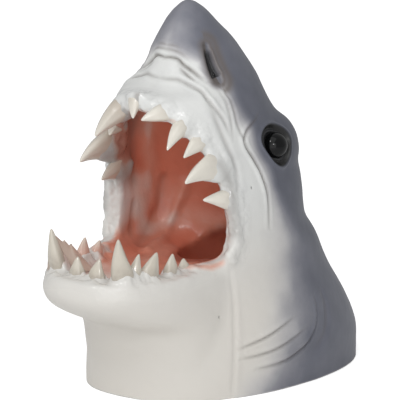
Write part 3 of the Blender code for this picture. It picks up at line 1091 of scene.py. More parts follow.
@dataclass(frozen=True)
class Mouth:
    """The open mouth: the arch of the upper jaw, the rim of the lower one, and the hollow between them."""

    # The corners of the mouth, on each side
    corner_half_width: float = 52.0
    corner_forward: float = 56.0
    corner_height: float = 87.0
    # The upper gum rises from them in an arch, whose top leans forwards and whose flanks lie back
    arch_rise: float = 96.0
    arch_reach: float = 18.0
    arch_lean: float = 5.0
    arch_power: float = 2.15
    cheek_setback: float = 9.2
    # The lip's radius at the top of the arch and at the corners
    upper_lip: float = 6.0
    cheek_lip: float = 4.2
    # The lower jaw's rim, its reach in front of the corners, and how square it is from above
    rim_height: float = 84.0
    jaw_reach: float = 89.3
    jaw_half_width: float = 51.5
    jaw_power: float = 2.6
    lower_lip_radius: float = 10.0
    # The lower teeth stand this far inside that rim and below it, along a squarer line
    row_inset: float = 15.5
    row_drop: float = 2.0
    row_power: float = 4.0
    # The hollow inside, and the blind gullet at its back
    floor_height: float = 77.0
    back: float = 9.0
    cheek_wall: float = 13.0
    gullet_radii: tuple[float, float, float] = (26.0, 26.0, 40.0)

    def lip_line(self, height: np.ndarray) -> np.ndarray:
        """The y of the mouth's edge at each height.

        Args:
            height: heights in millimetres.

        Returns:
            One y for each height.
        """
        rise = np.clip((np.asarray(height, float) - self.corner_height) / self.arch_rise, 0.0, 1.0)
        setback = self.cheek_setback * np.sin(math.pi * np.sqrt(rise))
        return -self.corner_forward + setback - self.arch_reach * rise**self.arch_lean

    @staticmethod
    def bow(degrees: np.ndarray, half_width: float, reach: float, power: float) -> tuple[np.ndarray, np.ndarray]:
        """Across and along of a rounded arch, whose middle is at 0 and whose left end is at 90 degrees.

        Args:
            degrees: places along the arch.
            half_width: the arch's half width.
            reach: how far its middle lies from its ends' line.
            power: how square it is: 2 is an ellipse.

        Returns:
            How far each place lies across, and how far along the reach.
        """
        turn = np.radians(np.asarray(degrees, float))
        share = 2.0 / power
        across = half_width * np.sign(np.sin(turn)) * np.abs(np.sin(turn)) ** share
        return across, reach * np.abs(np.cos(turn)) ** share

    def upper_arch(self, degrees: np.ndarray) -> np.ndarray:
        """Points of the upper gum.

        Args:
            degrees: places along the arch, 0 in the middle.

        Returns:
            The points.
        """
        across, rise = self.bow(degrees, self.corner_half_width, self.arch_rise, self.arch_power)
        height = self.corner_height + rise
        return np.stack([across, self.lip_line(height), height], axis=-1)

    def jaw_line(self, degrees: np.ndarray, inset: float, drop: float, power: float) -> np.ndarray:
        """A level line round the lower jaw.

        Args:
            degrees: places along the line, 0 in front.
            inset: how far it lies inside the jaw's outer edge.
            drop: how far it lies below the rim.
            power: how square it is.

        Returns:
            Its points.
        """
        across, along = self.bow(degrees, self.jaw_half_width - inset, self.jaw_reach - inset, power)
        level = np.full_like(across, self.rim_height - drop)
        return np.stack([across, -self.corner_forward - along, level], axis=-1)

    def lower_lip(self, degrees: np.ndarray) -> np.ndarray:
        """Points of the middle of the lower lip's roll, 0 degrees being in front."""
        return self.jaw_line(degrees, self.lower_lip_radius, self.lower_lip_radius, self.jaw_power)

    def lower_row(self, degrees: np.ndarray) -> np.ndarray:
        """Points of the line that the lower teeth stand on, 0 degrees being in front."""
        return self.jaw_line(degrees, self.row_inset, self.row_drop, self.row_power)

    def rim_line(self, inset: float, drop: float) -> np.ndarray:
        """A line round the lower lip, an inset from its outer edge and a drop below the rim."""
        return self.jaw_line(np.linspace(-75.0, 75.0, 96), inset, drop, self.jaw_power)

    def gum_line(self, jaw: Jaw, degrees: np.ndarray) -> np.ndarray:
        """Points of the line that a jaw's teeth stand on."""
        return self.upper_arch(degrees) if jaw is Jaw.UPPER else self.lower_row(degrees)

    def gum_distance(self, jaw: Jaw, points: np.ndarray) -> np.ndarray:
        """How far points lie from the line that a jaw's teeth stand on."""
        return line_distance(points, self.gum_line(jaw, np.linspace(-88.0, 88.0, 96)))

    def jaw_station(self, drop: float, inset: float, reach_inset: float, back: float) -> tuple:
        """A level section of the lower jaw, a drop below its rim.

        Args:
            drop: how far the section lies below the rim.
            inset: how much narrower it is than the jaw, on each side.
            reach_inset: how much shorter it is at the front.
            back: its reach behind the mouth's corners.

        Returns:
            The section as a station of a LevelLoft.
        """
        return (
            self.rim_height - drop,
            -self.corner_forward,
            self.jaw_half_width - inset,
            self.jaw_reach - reach_inset,
            back,
            self.jaw_power,
        )

    def jaw(self) -> bpy.types.Object:
        """The lower jaw and the throat below it.

        Returns:
            The jaw's body, which runs back into the neck.
        """
        # Drop below the rim, inset at the sides, inset at the front, reach behind the mouth's corners
        sizes = (
            (70.0, 3.5, 53.0, 30.0),
            (48.0, 1.5, 50.0, 34.0),
            (39.0, 0.5, 45.0, 38.0),
            (31.0, 0.0, 25.0, 40.0),
            (24.0, 0.0, 11.0, 40.0),
            (18.0, 0.5, 3.0, 40.0),
            (11.0, 0.0, 0.0, 40.0),
            (6.0, 3.0, 3.0, 36.0),
            (3.0, 9.0, 9.0, 30.0),
        )
        form = LevelLoft(tuple(self.jaw_station(*row) for row in sizes))
        return new_piece("lower_jaw", form.mesh("lower_jaw", 60, 140))

    def hollows(self) -> list[bpy.types.Object]:
        """The shapes that hollow the mouth out.

        Returns:
            First the space in front of the lips, then the parts of the hollow itself.
        """
        bottom, top = self.rim_height + 2.0, self.corner_height + self.arch_rise + 1.0
        levels = np.linspace(bottom, top, 60)
        front = LevelLoft(
            tuple(
                (z, float(self.lip_line(z)), 2 * self.corner_half_width, 1.5 * self.jaw_reach, 0.01, 12.0)
                for z in levels
            )
        )
        inner = self.corner_half_width - self.cheek_wall
        roof = self.corner_height + self.arch_rise
        # Height, y of the widest point, half width, reach to the front, reach to the back, squareness
        room = LevelLoft(
            (
                (self.floor_height, -20.0, inner - 9.0, 54.0, self.back + 14.0, 2.2),
                (self.corner_height - 2.0, -20.0, inner + 5.0, 56.0, self.back + 20.0, 2.4),
                (self.corner_height + 15.0, -20.0, inner + 6.0, 60.0, self.back + 20.0, 2.4),
                (self.corner_height + 40.0, -22.0, inner + 5.0, 60.0, self.back + 13.0, 2.3),
                (roof - 33.0, -36.0, inner - 1.0, 50.0, self.back + 15.0, 2.2),
                (roof - 18.0, -47.0, inner - 6.5, 40.0, self.back + 13.0, 2.1),
                (roof - 9.0, -56.0, inner - 15.0, 28.0, self.back + 8.0, 2.0),
                (roof - self.upper_lip + 1.0, -66.0, 0.0, 0.0, 0.0, 2.0),
            )
        )
        basin = LevelLoft(
            (
                self.jaw_station(
                    self.rim_height - self.floor_height, self.row_inset + 8.0, self.row_inset + 8.0, 40.0
                ),
                self.jaw_station(-1.0, self.row_inset, self.row_inset + 1.0, 40.0),
                self.jaw_station(-12.0, self.row_inset - 5.0, self.row_inset - 3.0, 40.0),
            )
        )
        centre = np.array((2.0, self.back - 7.0, self.floor_height - 14.0))
        return [
            new_piece("mouth_front", front.mesh("mouth_front", 60, 96)),
            new_piece("cheek_room", room.mesh("cheek_room", 90, 120)),
            new_piece("jaw_basin", basin.mesh("jaw_basin", 24, 96)),
            new_piece("gullet", ball_mesh("gullet", self.gullet_radii, centre, facing((0.0, 1.0, -1.0)), 56)),
        ]

    def lips(self) -> list[bpy.types.Object]:
        """The rolled lips of both jaws.

        Returns:
            The upper lip and the lower one.
        """
        places = np.linspace(-90.0, 90.0, 121)
        radii = self.cheek_lip + (self.upper_lip - self.cheek_lip) * np.cos(np.radians(places))
        lower = np.full(len(places), self.lower_lip_radius)
        return [
            new_piece("upper_lip", tube_mesh("upper_lip", self.upper_arch(places), radii)),
            new_piece("lower_lip", tube_mesh("lower_lip", self.lower_lip(places), lower, 28)),
        ]


@dataclass(frozen=True)
class TeethRow:
    """One jaw's teeth, each a slightly flattened, curved cone with a rounded point, held by fleshy gums.

    Attributes:
        jaw: the jaw that the teeth stand on.
        teeth: the teeth of the left side.
        right_teeth: those of the right side, where they differ.
        gum_wrap: how far the gum wraps a tooth, as a share of its length.
        gum_flesh: how much thicker than the tooth the gum is, in millimetres.
        web: points of the upper edge of a thin web between teeth, if there is one.
        web_foot: the height of that web's foot.
        web_lean: how far its foot lies to the left of its edge, at its front and at its back end.
        web_thick: half of its thickness at the foot.
        web_pink: how much of the lining's paint it caught.
    """

    jaw: Jaw
    teeth: tuple[Tooth, ...]
    right_teeth: tuple[Tooth, ...]
    gum_wrap: float
    gum_flesh: float
    web: tuple[tuple[float, float, float], ...] = ()
    web_foot: float = 78.0
    web_lean: tuple[float, float] = (-2.0, 7.0)
    web_thick: float = 2.6
    web_pink: float = 0.3
    # Shares of a tooth's length, and of its half width and half thickness there
    outline: tuple = (
        (0.0, 0.86, 0.84),
        (0.12, 0.96, 0.94),
        (0.28, 0.88, 0.9),
        (0.45, 0.72, 0.76),
        (0.62, 0.54, 0.58),
        (0.78, 0.36, 0.4),
        (0.9, 0.21, 0.25),
        (0.97, 0.11, 0.13),
        (1.0, 0.0, 0.0),
    )

    def all_teeth(self) -> list[tuple[Tooth, Side]]:
        """Every tooth with the side that it is on."""
        return [(tooth, Side.LEFT) for tooth in self.teeth] + [(tooth, Side.RIGHT) for tooth in self.right_teeth]

    def frame_of(self, tooth: Tooth, side: Side, mouth: Mouth) -> tuple[np.ndarray, np.ndarray, float]:
        """Places a tooth.

        Args:
            tooth: the tooth.
            side: the side that it is on.
            mouth: gives the line of the gum.

        Returns:
            Its root, its directions across, through and along as rows, and its length.
        """
        place = side.value * tooth.place
        outwards, forwards, upwards = tooth.shift
        root = mouth.gum_line(self.jaw, place) + np.array((side.value * outwards, -forwards, upwards))
        across = unit(mouth.gum_line(self.jaw, place + 1.0) - mouth.gum_line(self.jaw, place - 1.0))
        reach = np.array((side.value * tooth.out, -tooth.forward, tooth.up))
        axis = unit(reach)
        across = unit(across - axis * (across @ axis))
        return root, np.array((across, np.cross(axis, across), axis)), float(np.linalg.norm(reach))

    def gums(self, mouth: Mouth) -> list[bpy.types.Object]:
        """A sleeve of gum round each tooth, thick at its root and thinning out along it.

        Args:
            mouth: gives the line of the gum.

        Returns:
            The sleeves.
        """
        outline = np.array(self.outline)
        turns = np.linspace(0.0, math.tau, 24, endpoint=False)
        sleeves = []
        for tooth, side in self.all_teeth():
            root, axes, length = self.frame_of(tooth, side, mouth)
            rings = []
            for share in np.linspace(-0.1, self.gum_wrap * 2.0, 9):
                wide, thick = (np.interp(share, outline[:, 0], outline[:, k]) for k in (1, 2))
                flesh = self.gum_flesh * (1.0 - share / self.gum_wrap) if share > 0 else self.gum_flesh
                rings.append(
                    root
                    + axes[2] * (length * share)
                    + axes[0] * (np.cos(turns) * (tooth.width / 2 * wide + flesh))[:, None]
                    + axes[1] * (np.sin(turns) * (tooth.thickness / 2 * thick + flesh))[:, None]
                )
            sleeves.append(new_piece("gum", ring_mesh("gum", np.array(rings))))
        return sleeves

    def web_mesh(self) -> bpy.types.Mesh:
        """The thin web, as upright lens-shaped sections under its upper edge.

        Returns:
            The web's mesh, in metres.
        """
        edge = spline(np.array(self.web), np.linspace(0.0, len(self.web) - 1.0, 40))
        turns = np.linspace(0.0, math.tau, 20, endpoint=False)
        ahead = unit(np.gradient(edge * (1.0, 1.0, 0.0), axis=0))
        leans = np.linspace(*self.web_lean, len(edge))
        share = 0.5 + 0.5 * np.sin(turns)[:, None]
        rings = []
        for top, level, lean in zip(edge, np.cross(ahead, (0.0, 0.0, 1.0)), leans):
            base = np.array((top[0] + lean, top[1], self.web_foot))
            # It thins to a quarter at its upper edge
            thick = self.web_thick * np.cos(turns)[:, None] * (1.0 - 0.75 * share)
            rings.append(base + (top - base) * share + level * thick)
        return ring_mesh("web", np.array(rings))

    def build(self, mouth: Mouth, finish: bpy.types.Material) -> bpy.types.Object:
        """Builds and dresses the row.

        Args:
            mouth: gives the line of the gum.
            finish: the teeth's paint.

        Returns:
            The row as one piece.
        """
        whole = bmesh.new()
        root_layer = whole.verts.layers.float.new("root")
        pink_layer = whole.verts.layers.float.new("pink")
        turns = np.linspace(0.0, math.tau, 32, endpoint=False)
        outline = np.array(self.outline)
        rows = spline(outline, np.linspace(0.0, len(outline) - 1.0, 40))[:-1]
        for number, (tooth, side) in enumerate(self.all_teeth()):
            root, axes, length = self.frame_of(tooth, side, mouth)
            # The bend is strongest half way up, so that root and tip keep their places. Teeth that hang down
            # bend a little downwards too
            inward = np.array((0.0, 1.0, -0.25 if tooth.up < 3.0 else 0.0))
            inward = unit(inward - axes[2] * (inward @ axes[2]))
            rings = []
            for share, wide, thick in rows:
                centre = root + axes[2] * (length * share) - inward * tooth.bow * 4.0 * share * (1.0 - share)
                # The sculptor's knife left each tooth slightly uneven
                carved = 1.0 + 0.045 * np.sin(turns * 3.0 + number * 1.7 + share * 5.0) + 0.025 * np.sin(turns * 7.0)
                rings.append(
                    centre
                    + axes[0] * (np.cos(turns) * tooth.width / 2 * wide * carved)[:, None]
                    + axes[1] * (np.sin(turns) * tooth.thickness / 2 * thick * carved)[:, None]
                )
            for vert in take_in(whole, ring_mesh("tooth", np.array(rings), root + axes[2] * length)):
                share = (np.array(vert.co) / MM - root) @ axes[2] / length
                # Towards the root the paint darkens, as painted shade where the tooth leaves the gum
                vert[root_layer] = float(np.clip(1.0 - (share - 0.2) / 0.35, 0.0, 1.0))
                vert[pink_layer] = tooth.pink * float(np.clip(1.25 - 1.1 * share, 0.0, 1.0))
        if self.web:
            for vert in take_in(whole, self.web_mesh()):
                vert[pink_layer] = self.web_pink
        bmesh.ops.recalc_face_normals(whole, faces=whole.faces)
        mesh = bpy.data.meshes.new(self.jaw.value)
        whole.to_mesh(mesh)
        whole.free()
        mesh.shade_smooth()
        mesh.materials.append(finish)
        return new_piece(self.jaw.value, mesh)


# Each tooth's place, width and thickness, how far its tip lies outwards, forwards and upwards, its bow, its pink
# and its root's shift
UPPER_LEFT = (
    Tooth(16.0, 13.5, 11.0, -6.5, 17.5, -3.5, 1.0),
    Tooth(28.0, 12.5, 10.5, 4.0, 23.0, -12.5, 1.5),
    Tooth(40.0, 12.5, 9.5, 1.0, 20.5, -7.5, 1.0),
    Tooth(54.0, 18.5, 12.0, 0.0, 34.0, -5.0, 2.5),
    Tooth(68.5, 14.0, 9.5, -7.5, 19.0, 1.5, 1.0),
)
# The right side was modelled by hand too, so its teeth stand a little differently
UPPER_RIGHT = (
    Tooth(5.0, 12.0, 9.0, -3.0, 7.0, -13.0, 0.5, 0.1, (0.0, 1.5, 4.5)),
    Tooth(20.0, 19.0, 15.0, 8.5, 20.0, -17.5, 2.5, 0.5),
    Tooth(41.0, 13.0, 10.0, -1.0, 10.0, -5.0, 1.0, 0.8),
    Tooth(54.0, 24.0, 13.0, 0.0, 34.0, -6.0, 2.5, 0.7, (0.0, 0.0, 1.5)),
    Tooth(68.5, 19.0, 10.0, -2.5, 25.0, -4.5, 1.0, 0.9, (-5.0, -6.0, 6.0)),
)
LOWER_LEFT = (
    Tooth(3.0, 12.5, 9.0, 1.5, -1.5, 13.5, 0.5),
    Tooth(31.5, 15.5, 12.0, 1.5, 7.5, 29.5, 1.0),
    Tooth(43.0, 11.0, 8.0, 0.5, -4.0, 17.5, 0.5),
    Tooth(58.0, 15.0, 9.5, 1.5, -6.5, 17.0, 0.5),
    Tooth(77.0, 12.0, 8.5, 0.0, -2.0, 13.5, 0.5),
    Tooth(85.0, 11.5, 7.5, -2.0, -1.0, 8.0, 0.3),
)
LOWER_RIGHT = (
    Tooth(2.2, 12.5, 9.0, 0.0, -0.5, 12.5, 0.5),
    Tooth(31.5, 15.5, 12.0, 1.2, 7.0, 27.5, 1.0),
    Tooth(43.0, 14.0, 7.0, 0.0, -3.5, 17.0, 0.5, 0.15),
    Tooth(58.0, 13.0, 7.0, 1.0, -6.0, 11.5, 0.5, 0.4),
    Tooth(77.0, 11.0, 8.0, 0.0, -2.0, 12.5, 0.5, 0.8),
    Tooth(85.0, 9.5, 7.0, -2.0, -1.0, 8.5, 0.3, 0.8),
)
# Behind the right fang the clay between the teeth was never cut out, and stands as a sloping web
RIGHT_WEB = (
    (-27.0, -131.0, 105.5),
    (-27.5, -126.5, 104.0),
    (-27.0, -121.0, 99.5),
    (-27.0, -118.0, 99.0),
    (-26.5, -115.0, 96.0),
    (-26.3, -112.5, 95.5),
    (-26.4, -108.0, 91.5),
    (-27.0, -101.0, 85.0),
)
UPPER_TEETH = TeethRow(Jaw.UPPER, UPPER_LEFT, UPPER_RIGHT, gum_wrap=0.36, gum_flesh=2.6)
LOWER_TEETH = TeethRow(Jaw.LOWER, LOWER_LEFT, LOWER_RIGHT, gum_wrap=0.3, gum_flesh=2.0, web=RIGHT_WEB)


@dataclass
class Eye:
    """An eye: an almond-shaped, lidded hollow with a glossy ball in it, on each side.

    Attributes:
        height: the height of its centre.
        degrees: its place round the head, 0 for the side and -90 for the front.
        radius: the ball's radius.
        sink: how far the ball's middle lies below the skin.
        hollow_half: the hollow's half width and half height.
        hollow_depth: how deep the hollow is.
        centre: the eye's centre on the skin, once it is found.
        axes: the directions across, up and straight out there, as rows.
    """

    height: float = 151.5
    degrees: float = 8.0
    radius: float = 8.4
    sink: float = 3.7
    hollow_half: tuple[float, float] = (11.2, 12.9)
    hollow_depth: float = 2.6
    centre: np.ndarray = field(init=False)
    axes: np.ndarray = field(init=False)

    def find(self, clay: Clay, form: LevelLoft) -> None:
        """Finds the place on the clay before anything is pressed into it.

        Args:
            clay: the casting's surface.
            form: the head's own body.
        """
        point, outward = form.skin(self.height, self.degrees)
        away = ((clay.folded - point) ** 2).sum(1) + 1e6 * (clay.folded_normals @ outward < 0.3)
        near = np.argsort(away)[:60]
        self.centre = clay.folded[near].mean(0)
        self.axes = facing(clay.folded_normals[near].mean(0))

    def press(self, clay: Clay) -> None:
        """Presses the hollow and its lids into the clay and paints them.

        Args:
            clay: the casting's surface.
        """
        x, y, z = ((clay.folded - self.centre) @ self.axes.T).T
        near = (np.abs(z) < 9.0) & (clay.folded_normals @ self.axes[2] > 0.0)
        # The almond leans forwards at the top and narrows towards a point at the bottom
        lean = x + 0.14 * y
        half_width = self.hollow_half[0] * (1.0 + 0.2 * np.tanh(y / 6.0))
        radial = np.sqrt((lean / half_width) ** 2 + (np.abs(y) / self.hollow_half[1]) ** 2)
        inside = np.where(near, smooth(1.04, 0.84, radial), 0.0)
        rim = np.where(near, bell(radial - 1.1, 0.1), 0.0)
        lid = np.where(near, bell(radial - 0.76, 0.09), 0.0) * smooth(-3.0, 4.0, np.abs(y))
        clay.press(-self.hollow_depth * inside + 0.9 * rim + 1.2 * lid * inside)
        # Along the lids the black is a tenth lighter: a painted highlight on their ridge
        clay.coat(Coat.BLACK, np.where(near, smooth(1.12, 1.0, radial), 0.0) * (1.0 - 0.1 * lid))
        clay.coat(Coat.SLATE, np.where(near, 0.8 * smooth(2.0, 1.0, radial), 0.0))

    def balls(self, finish: bpy.types.Material) -> bpy.types.Object:
        """Builds and dresses both eyeballs as one piece.

        Args:
            finish: the balls' paint.

        Returns:
            Both balls as one piece.
        """
        whole = bmesh.new()
        middle = self.centre - self.axes[2] * self.sink
        for piece in both_sides(ball_mesh("eyeball", (self.radius,) * 3, middle, self.axes, 48)):
            whole.from_mesh(piece.data)
            bpy.data.objects.remove(piece)
        mesh = bpy.data.meshes.new("eyes")
        whole.to_mesh(mesh)
        whole.free()
        mesh.shade_smooth()
        mesh.materials.append(finish)
        return new_piece("eyes", mesh)


@dataclass(frozen=True)
class Nostril:
    """A slit with a swollen rim and a wider pit at its lower end, on each side.

    The places are heights and degrees on the skin, from the upper end down.
    """

    places: tuple = ((215.0, -28.0), (209.0, -28.5), (203.0, -28.0), (197.5, -25.0))
    depth: float = 3.4
    half_width: tuple[float, float] = (1.6, 2.9)
    halo: float = 6.0

    def press(self, clay: Clay, path: np.ndarray, outward: np.ndarray) -> None:
        """Presses the slit into the clay, darkens it nearly to black, and darkens the skin round it with brown.

        Args:
            clay: the casting's surface.
            path: the slit's points, from its upper end down.
            outward: the direction straight out of the skin at each point.
        """
        index, distance, share, side = clay.near(path, outward, 14.0)
        width = self.half_width[0] + (self.half_width[1] - self.half_width[0]) * share**1.5
        slit = smooth(width + 1.3, np.maximum(width - 1.1, 0.0), distance)
        ends = smooth(0.0, 0.25, share) * smooth(1.0, 0.93, share)
        back = side > 0
        flap = bell(distance - width - 1.6, 1.2) * ends
        # A bead of clay stands in the pit at the lower end
        bead = bell(share - 0.86, 0.05) * bell(distance, 0.9)
        offset = np.zeros(len(clay.points))
        offset[index] = -self.depth * slit * (0.3 + 0.7 * ends) + flap * np.where(back, 0.7, 0.2) + 1.4 * bead
        clay.press(offset)
        # The slit is darkened nearly to black, and the skin round it with brown
        back_slit_dark = smooth(width + 0.6, width - 0.9, distance)
        slit_dark = np.where(back, back_slit_dark, smooth(width + 3.2, width - 1.2, distance))
        clay.coat(Coat.BLACK, 0.97 * slit_dark * (0.3 + 0.7 * ends), index)
        front_halo = 0.9 * smooth(self.halo, -0.5, distance - width)
        back_halo = 0.7 * bell(distance - width - 1.5, 1.7) + 0.75 * bell(distance - width - 5.5, 2.6)
        clay.coat(Coat.UMBER, np.where(back, back_halo, front_halo) * smooth(0.0, 0.1, share + 0.08), index)
        clay.coat(Coat.SLATE, 0.55 * smooth(10.0, 3.0, distance), index)


# The last number of each fold darkens its crease with painted shade
FOLDS = (
    Fold(
        "gill_front",
        ((31.0, -31.0), (35.0, -19.0), (39.0, -11.0), (44.0, -3.0)),
        depth=1.0, width=0.95, lip=0.5, step=0.8, painted_shade=0.5,
    ),
    Fold(
        "gill_middle",
        ((24.5, -30.0), (26.0, -16.0), (30.0, -6.0), (35.0, 1.0)),
        depth=1.0, width=0.95, lip=0.5, step=0.8, painted_shade=0.5,
    ),
    Fold(
        "gill_back",
        ((16.5, -22.0), (18.0, -9.0), (23.0, 0.0), (32.0, 6.0), (41.0, 9.0), (51.0, 10.0)),
        depth=1.4, width=1.1, lip=0.6, step=1.5, painted_shade=0.5,
    ),
    Fold(
        "gill_last",
        ((20.0, 6.0), (30.0, 13.0), (42.0, 16.0), (56.0, 16.0)),
        depth=0.7, width=2.0, lip=0.6, step=0.5, painted_shade=0.2,
    ),
    Fold(
        "flank_hollow",
        ((14.0, -8.0), (20.0, 3.0), (32.0, 10.0), (48.0, 14.0)),
        depth=2.2, width=7.0, lip=0.1, step=0.0, painted_shade=0.0,
    ),
    Fold(
        "throat_edge",
        ((84.0, -30.0), (61.0, -31.0), (43.0, -33.0), (24.0, -33.0), (-4.0, -33.0)),
        depth=0.45, width=1.5, lip=0.5, step=0.55, painted_shade=0.1,
    ),
    Fold(
        "cheek_furrow",
        ((172.0, 6.0), (165.0, -8.0), (157.0, -13.0), (147.0, -10.0), (137.0, -7.0), (124.0, -5.0), (104.0, -5.5)),
        depth=1.4, width=1.15, lip=0.5, step=-0.9, painted_shade=0.8,
    ),
    Fold(
        "snout_wrinkle",
        ((206.5, -100.0), (208.7, -89.0), (208.7, -72.0), (205.1, -62.0), (201.6, -51.0), (196.0, -38.0)),
        depth=1.6, width=1.2, lip=0.35, step=0.9, painted_shade=0.8,
    ),
    Fold(
        "snout_wrinkle_upper",
        ((213.0, -100.0), (214.0, -86.0), (212.8, -68.0), (210.0, -58.0)),
        depth=0.7, width=1.0, lip=0.35, step=0.0, painted_shade=0.5,
    ),
    Fold(
        "snout_wrinkle_fine",
        ((216.0, -92.0), (216.5, -80.0), (215.5, -66.0)),
        depth=0.8, width=1.1, lip=0.5, step=0.0, painted_shade=0.4,
    ),
    Fold(
        "snout_wrinkle_short",
        ((203.5, -68.0), (200.5, -60.0), (196.5, -48.0)),
        depth=1.0, width=1.0, lip=0.35, step=0.0, painted_shade=0.65,
    ),
    Fold(
        "snout_bulge",
        ((203.5, -104.0), (202.5, -88.0), (201.0, -74.0), (198.0, -64.0)),
        depth=-0.9, width=3.6, lip=0.0, step=0.0, painted_shade=0.0,
    ),
    Fold(
        "lip_crease",
        ((196.6, -98.0), (196.6, -81.0), (196.6, -65.0), (193.1, -49.0), (187.9, -34.0), (181.9, -27.0),
         (173.8, -22.0), (165.2, -21.0)),
        depth=1.1, width=1.2, lip=0.5, step=0.5, painted_shade=0.5,
    ),
    Fold(
        "cheek_line_back",
        ((196.3, -38.0), (193.1, -25.0), (186.0, -14.0), (178.0, -12.0), (170.5, -13.0), (161.1, -13.0),
         (152.0, -12.0), (143.0, -10.0)),
        depth=0.55, width=1.0, lip=0.5, step=-0.2, painted_shade=0.4,
    ),
    Fold(
        "cheek_line_front",
        ((193.1, -28.0), (186.3, -18.0), (178.5, -16.0), (171.2, -17.0), (161.1, -20.0)),
        depth=0.45, width=1.0, lip=0.5, step=0.1, painted_shade=0.3,
    ),
    Fold(
        "gum_furrow",
        ((189.7, -35.0), (179.7, -29.0), (168.3, -26.5), (155.3, -24.5), (140.0, -22.0), (124.0, -24.0)),
        depth=0.7, width=1.8, lip=0.4, step=0.0, painted_shade=0.3,
    ),
    Fold(
        "snout_hollow",
        ((215.0, -66.0), (207.0, -58.0), (199.0, -55.0), (192.0, -60.0)),
        depth=1.5, width=6.5, lip=0.0, step=0.0, painted_shade=0.0,
    ),
)


@dataclass(frozen=True)
class LiningFold:
    """A soft ridge or valley of the mouth's lining, as places on the left side in millimetres.

    Rise is above 0 for a ridge. Pale takes colour from the lining's paint: above 0 on a ridge it is paler paint and
    painted highlight, and below 0 in a valley it is painted shade. Brown darkens it as painted shade.
    """

    places: tuple[tuple[float, float, float], ...]
    rise: float
    width: float
    pale_and_highlight: float = 0.0
    brown: float = 0.0


# Paler paint on a ridge is partly painted highlight, and the deeper pink and the brown in a valley are painted shade
LINING_FOLDS = (
    LiningFold(
        ((27, -40, 77), (31, -28, 78), (34, -17, 80), (38, -5, 87), (35.5, 0.5, 101), (30, 2, 114)),
        rise=3.0, width=3.4, pale_and_highlight=0.3,
    ),
    LiningFold(
        ((37, -36, 79), (42, -19, 86), (42.5, -10, 98), (40, -8, 116)),
        rise=-2.0, width=3.2, pale_and_highlight=-0.3, brown=0.25,
    ),
    LiningFold(
        ((22, -44, 170), (30, -33, 162), (36, -28, 149), (40, -24, 137), (43, -18.5, 126), (44, -19, 113)),
        rise=1.0, width=4.6, pale_and_highlight=0.42,
    ),
    LiningFold(
        ((26, -41, 165), (37, -22, 140), (40, -12, 118)),
        rise=0.9, width=2.6, pale_and_highlight=0.2,
    ),
    LiningFold(
        ((26, -56, 170), (34, -45, 162), (38, -40.5, 150), (41, -36.5, 139), (45, -31.5, 118)),
        rise=-1.4, width=4.2, pale_and_highlight=-0.1, brown=0.45,
    ),
    LiningFold(
        ((10, -62, 176), (24, -50, 166), (34, -40, 154)),
        rise=0.0, width=10.0, pale_and_highlight=0.3, brown=0.3,
    ),
    LiningFold(
        ((44, -50, 124), (45, -40, 112), (45, -28, 99), (44, -20, 88)),
        rise=0.8, width=8.5, pale_and_highlight=0.6,
    ),
    LiningFold(
        ((44, -38, 82), (45, -34, 92), (45, -32, 104)),
        rise=-1.6, width=2.6, pale_and_highlight=-0.5, brown=0.3,
    ),
    LiningFold(
        ((38, -2, 89), (28, 6, 91), (13, 9, 88), (0, 9, 88)),
        rise=1.6, width=7.5, pale_and_highlight=0.42,
    ),
    LiningFold(
        ((10, -58, 77), (18, -40, 77), (24, -24, 77)),
        rise=1.2, width=8.0, pale_and_highlight=0.35,
    ),
    LiningFold(
        ((47, -52, 146), (48.5, -52, 136), (49.5, -50, 124)),
        rise=0.0, width=4.5, pale_and_highlight=0.0, brown=0.5,
    ),
    LiningFold(
        ((20, -30, 171), (30, -18, 150), (30, -10, 130)),
        rise=0.8, width=6.0, pale_and_highlight=-0.1,
    ),
)


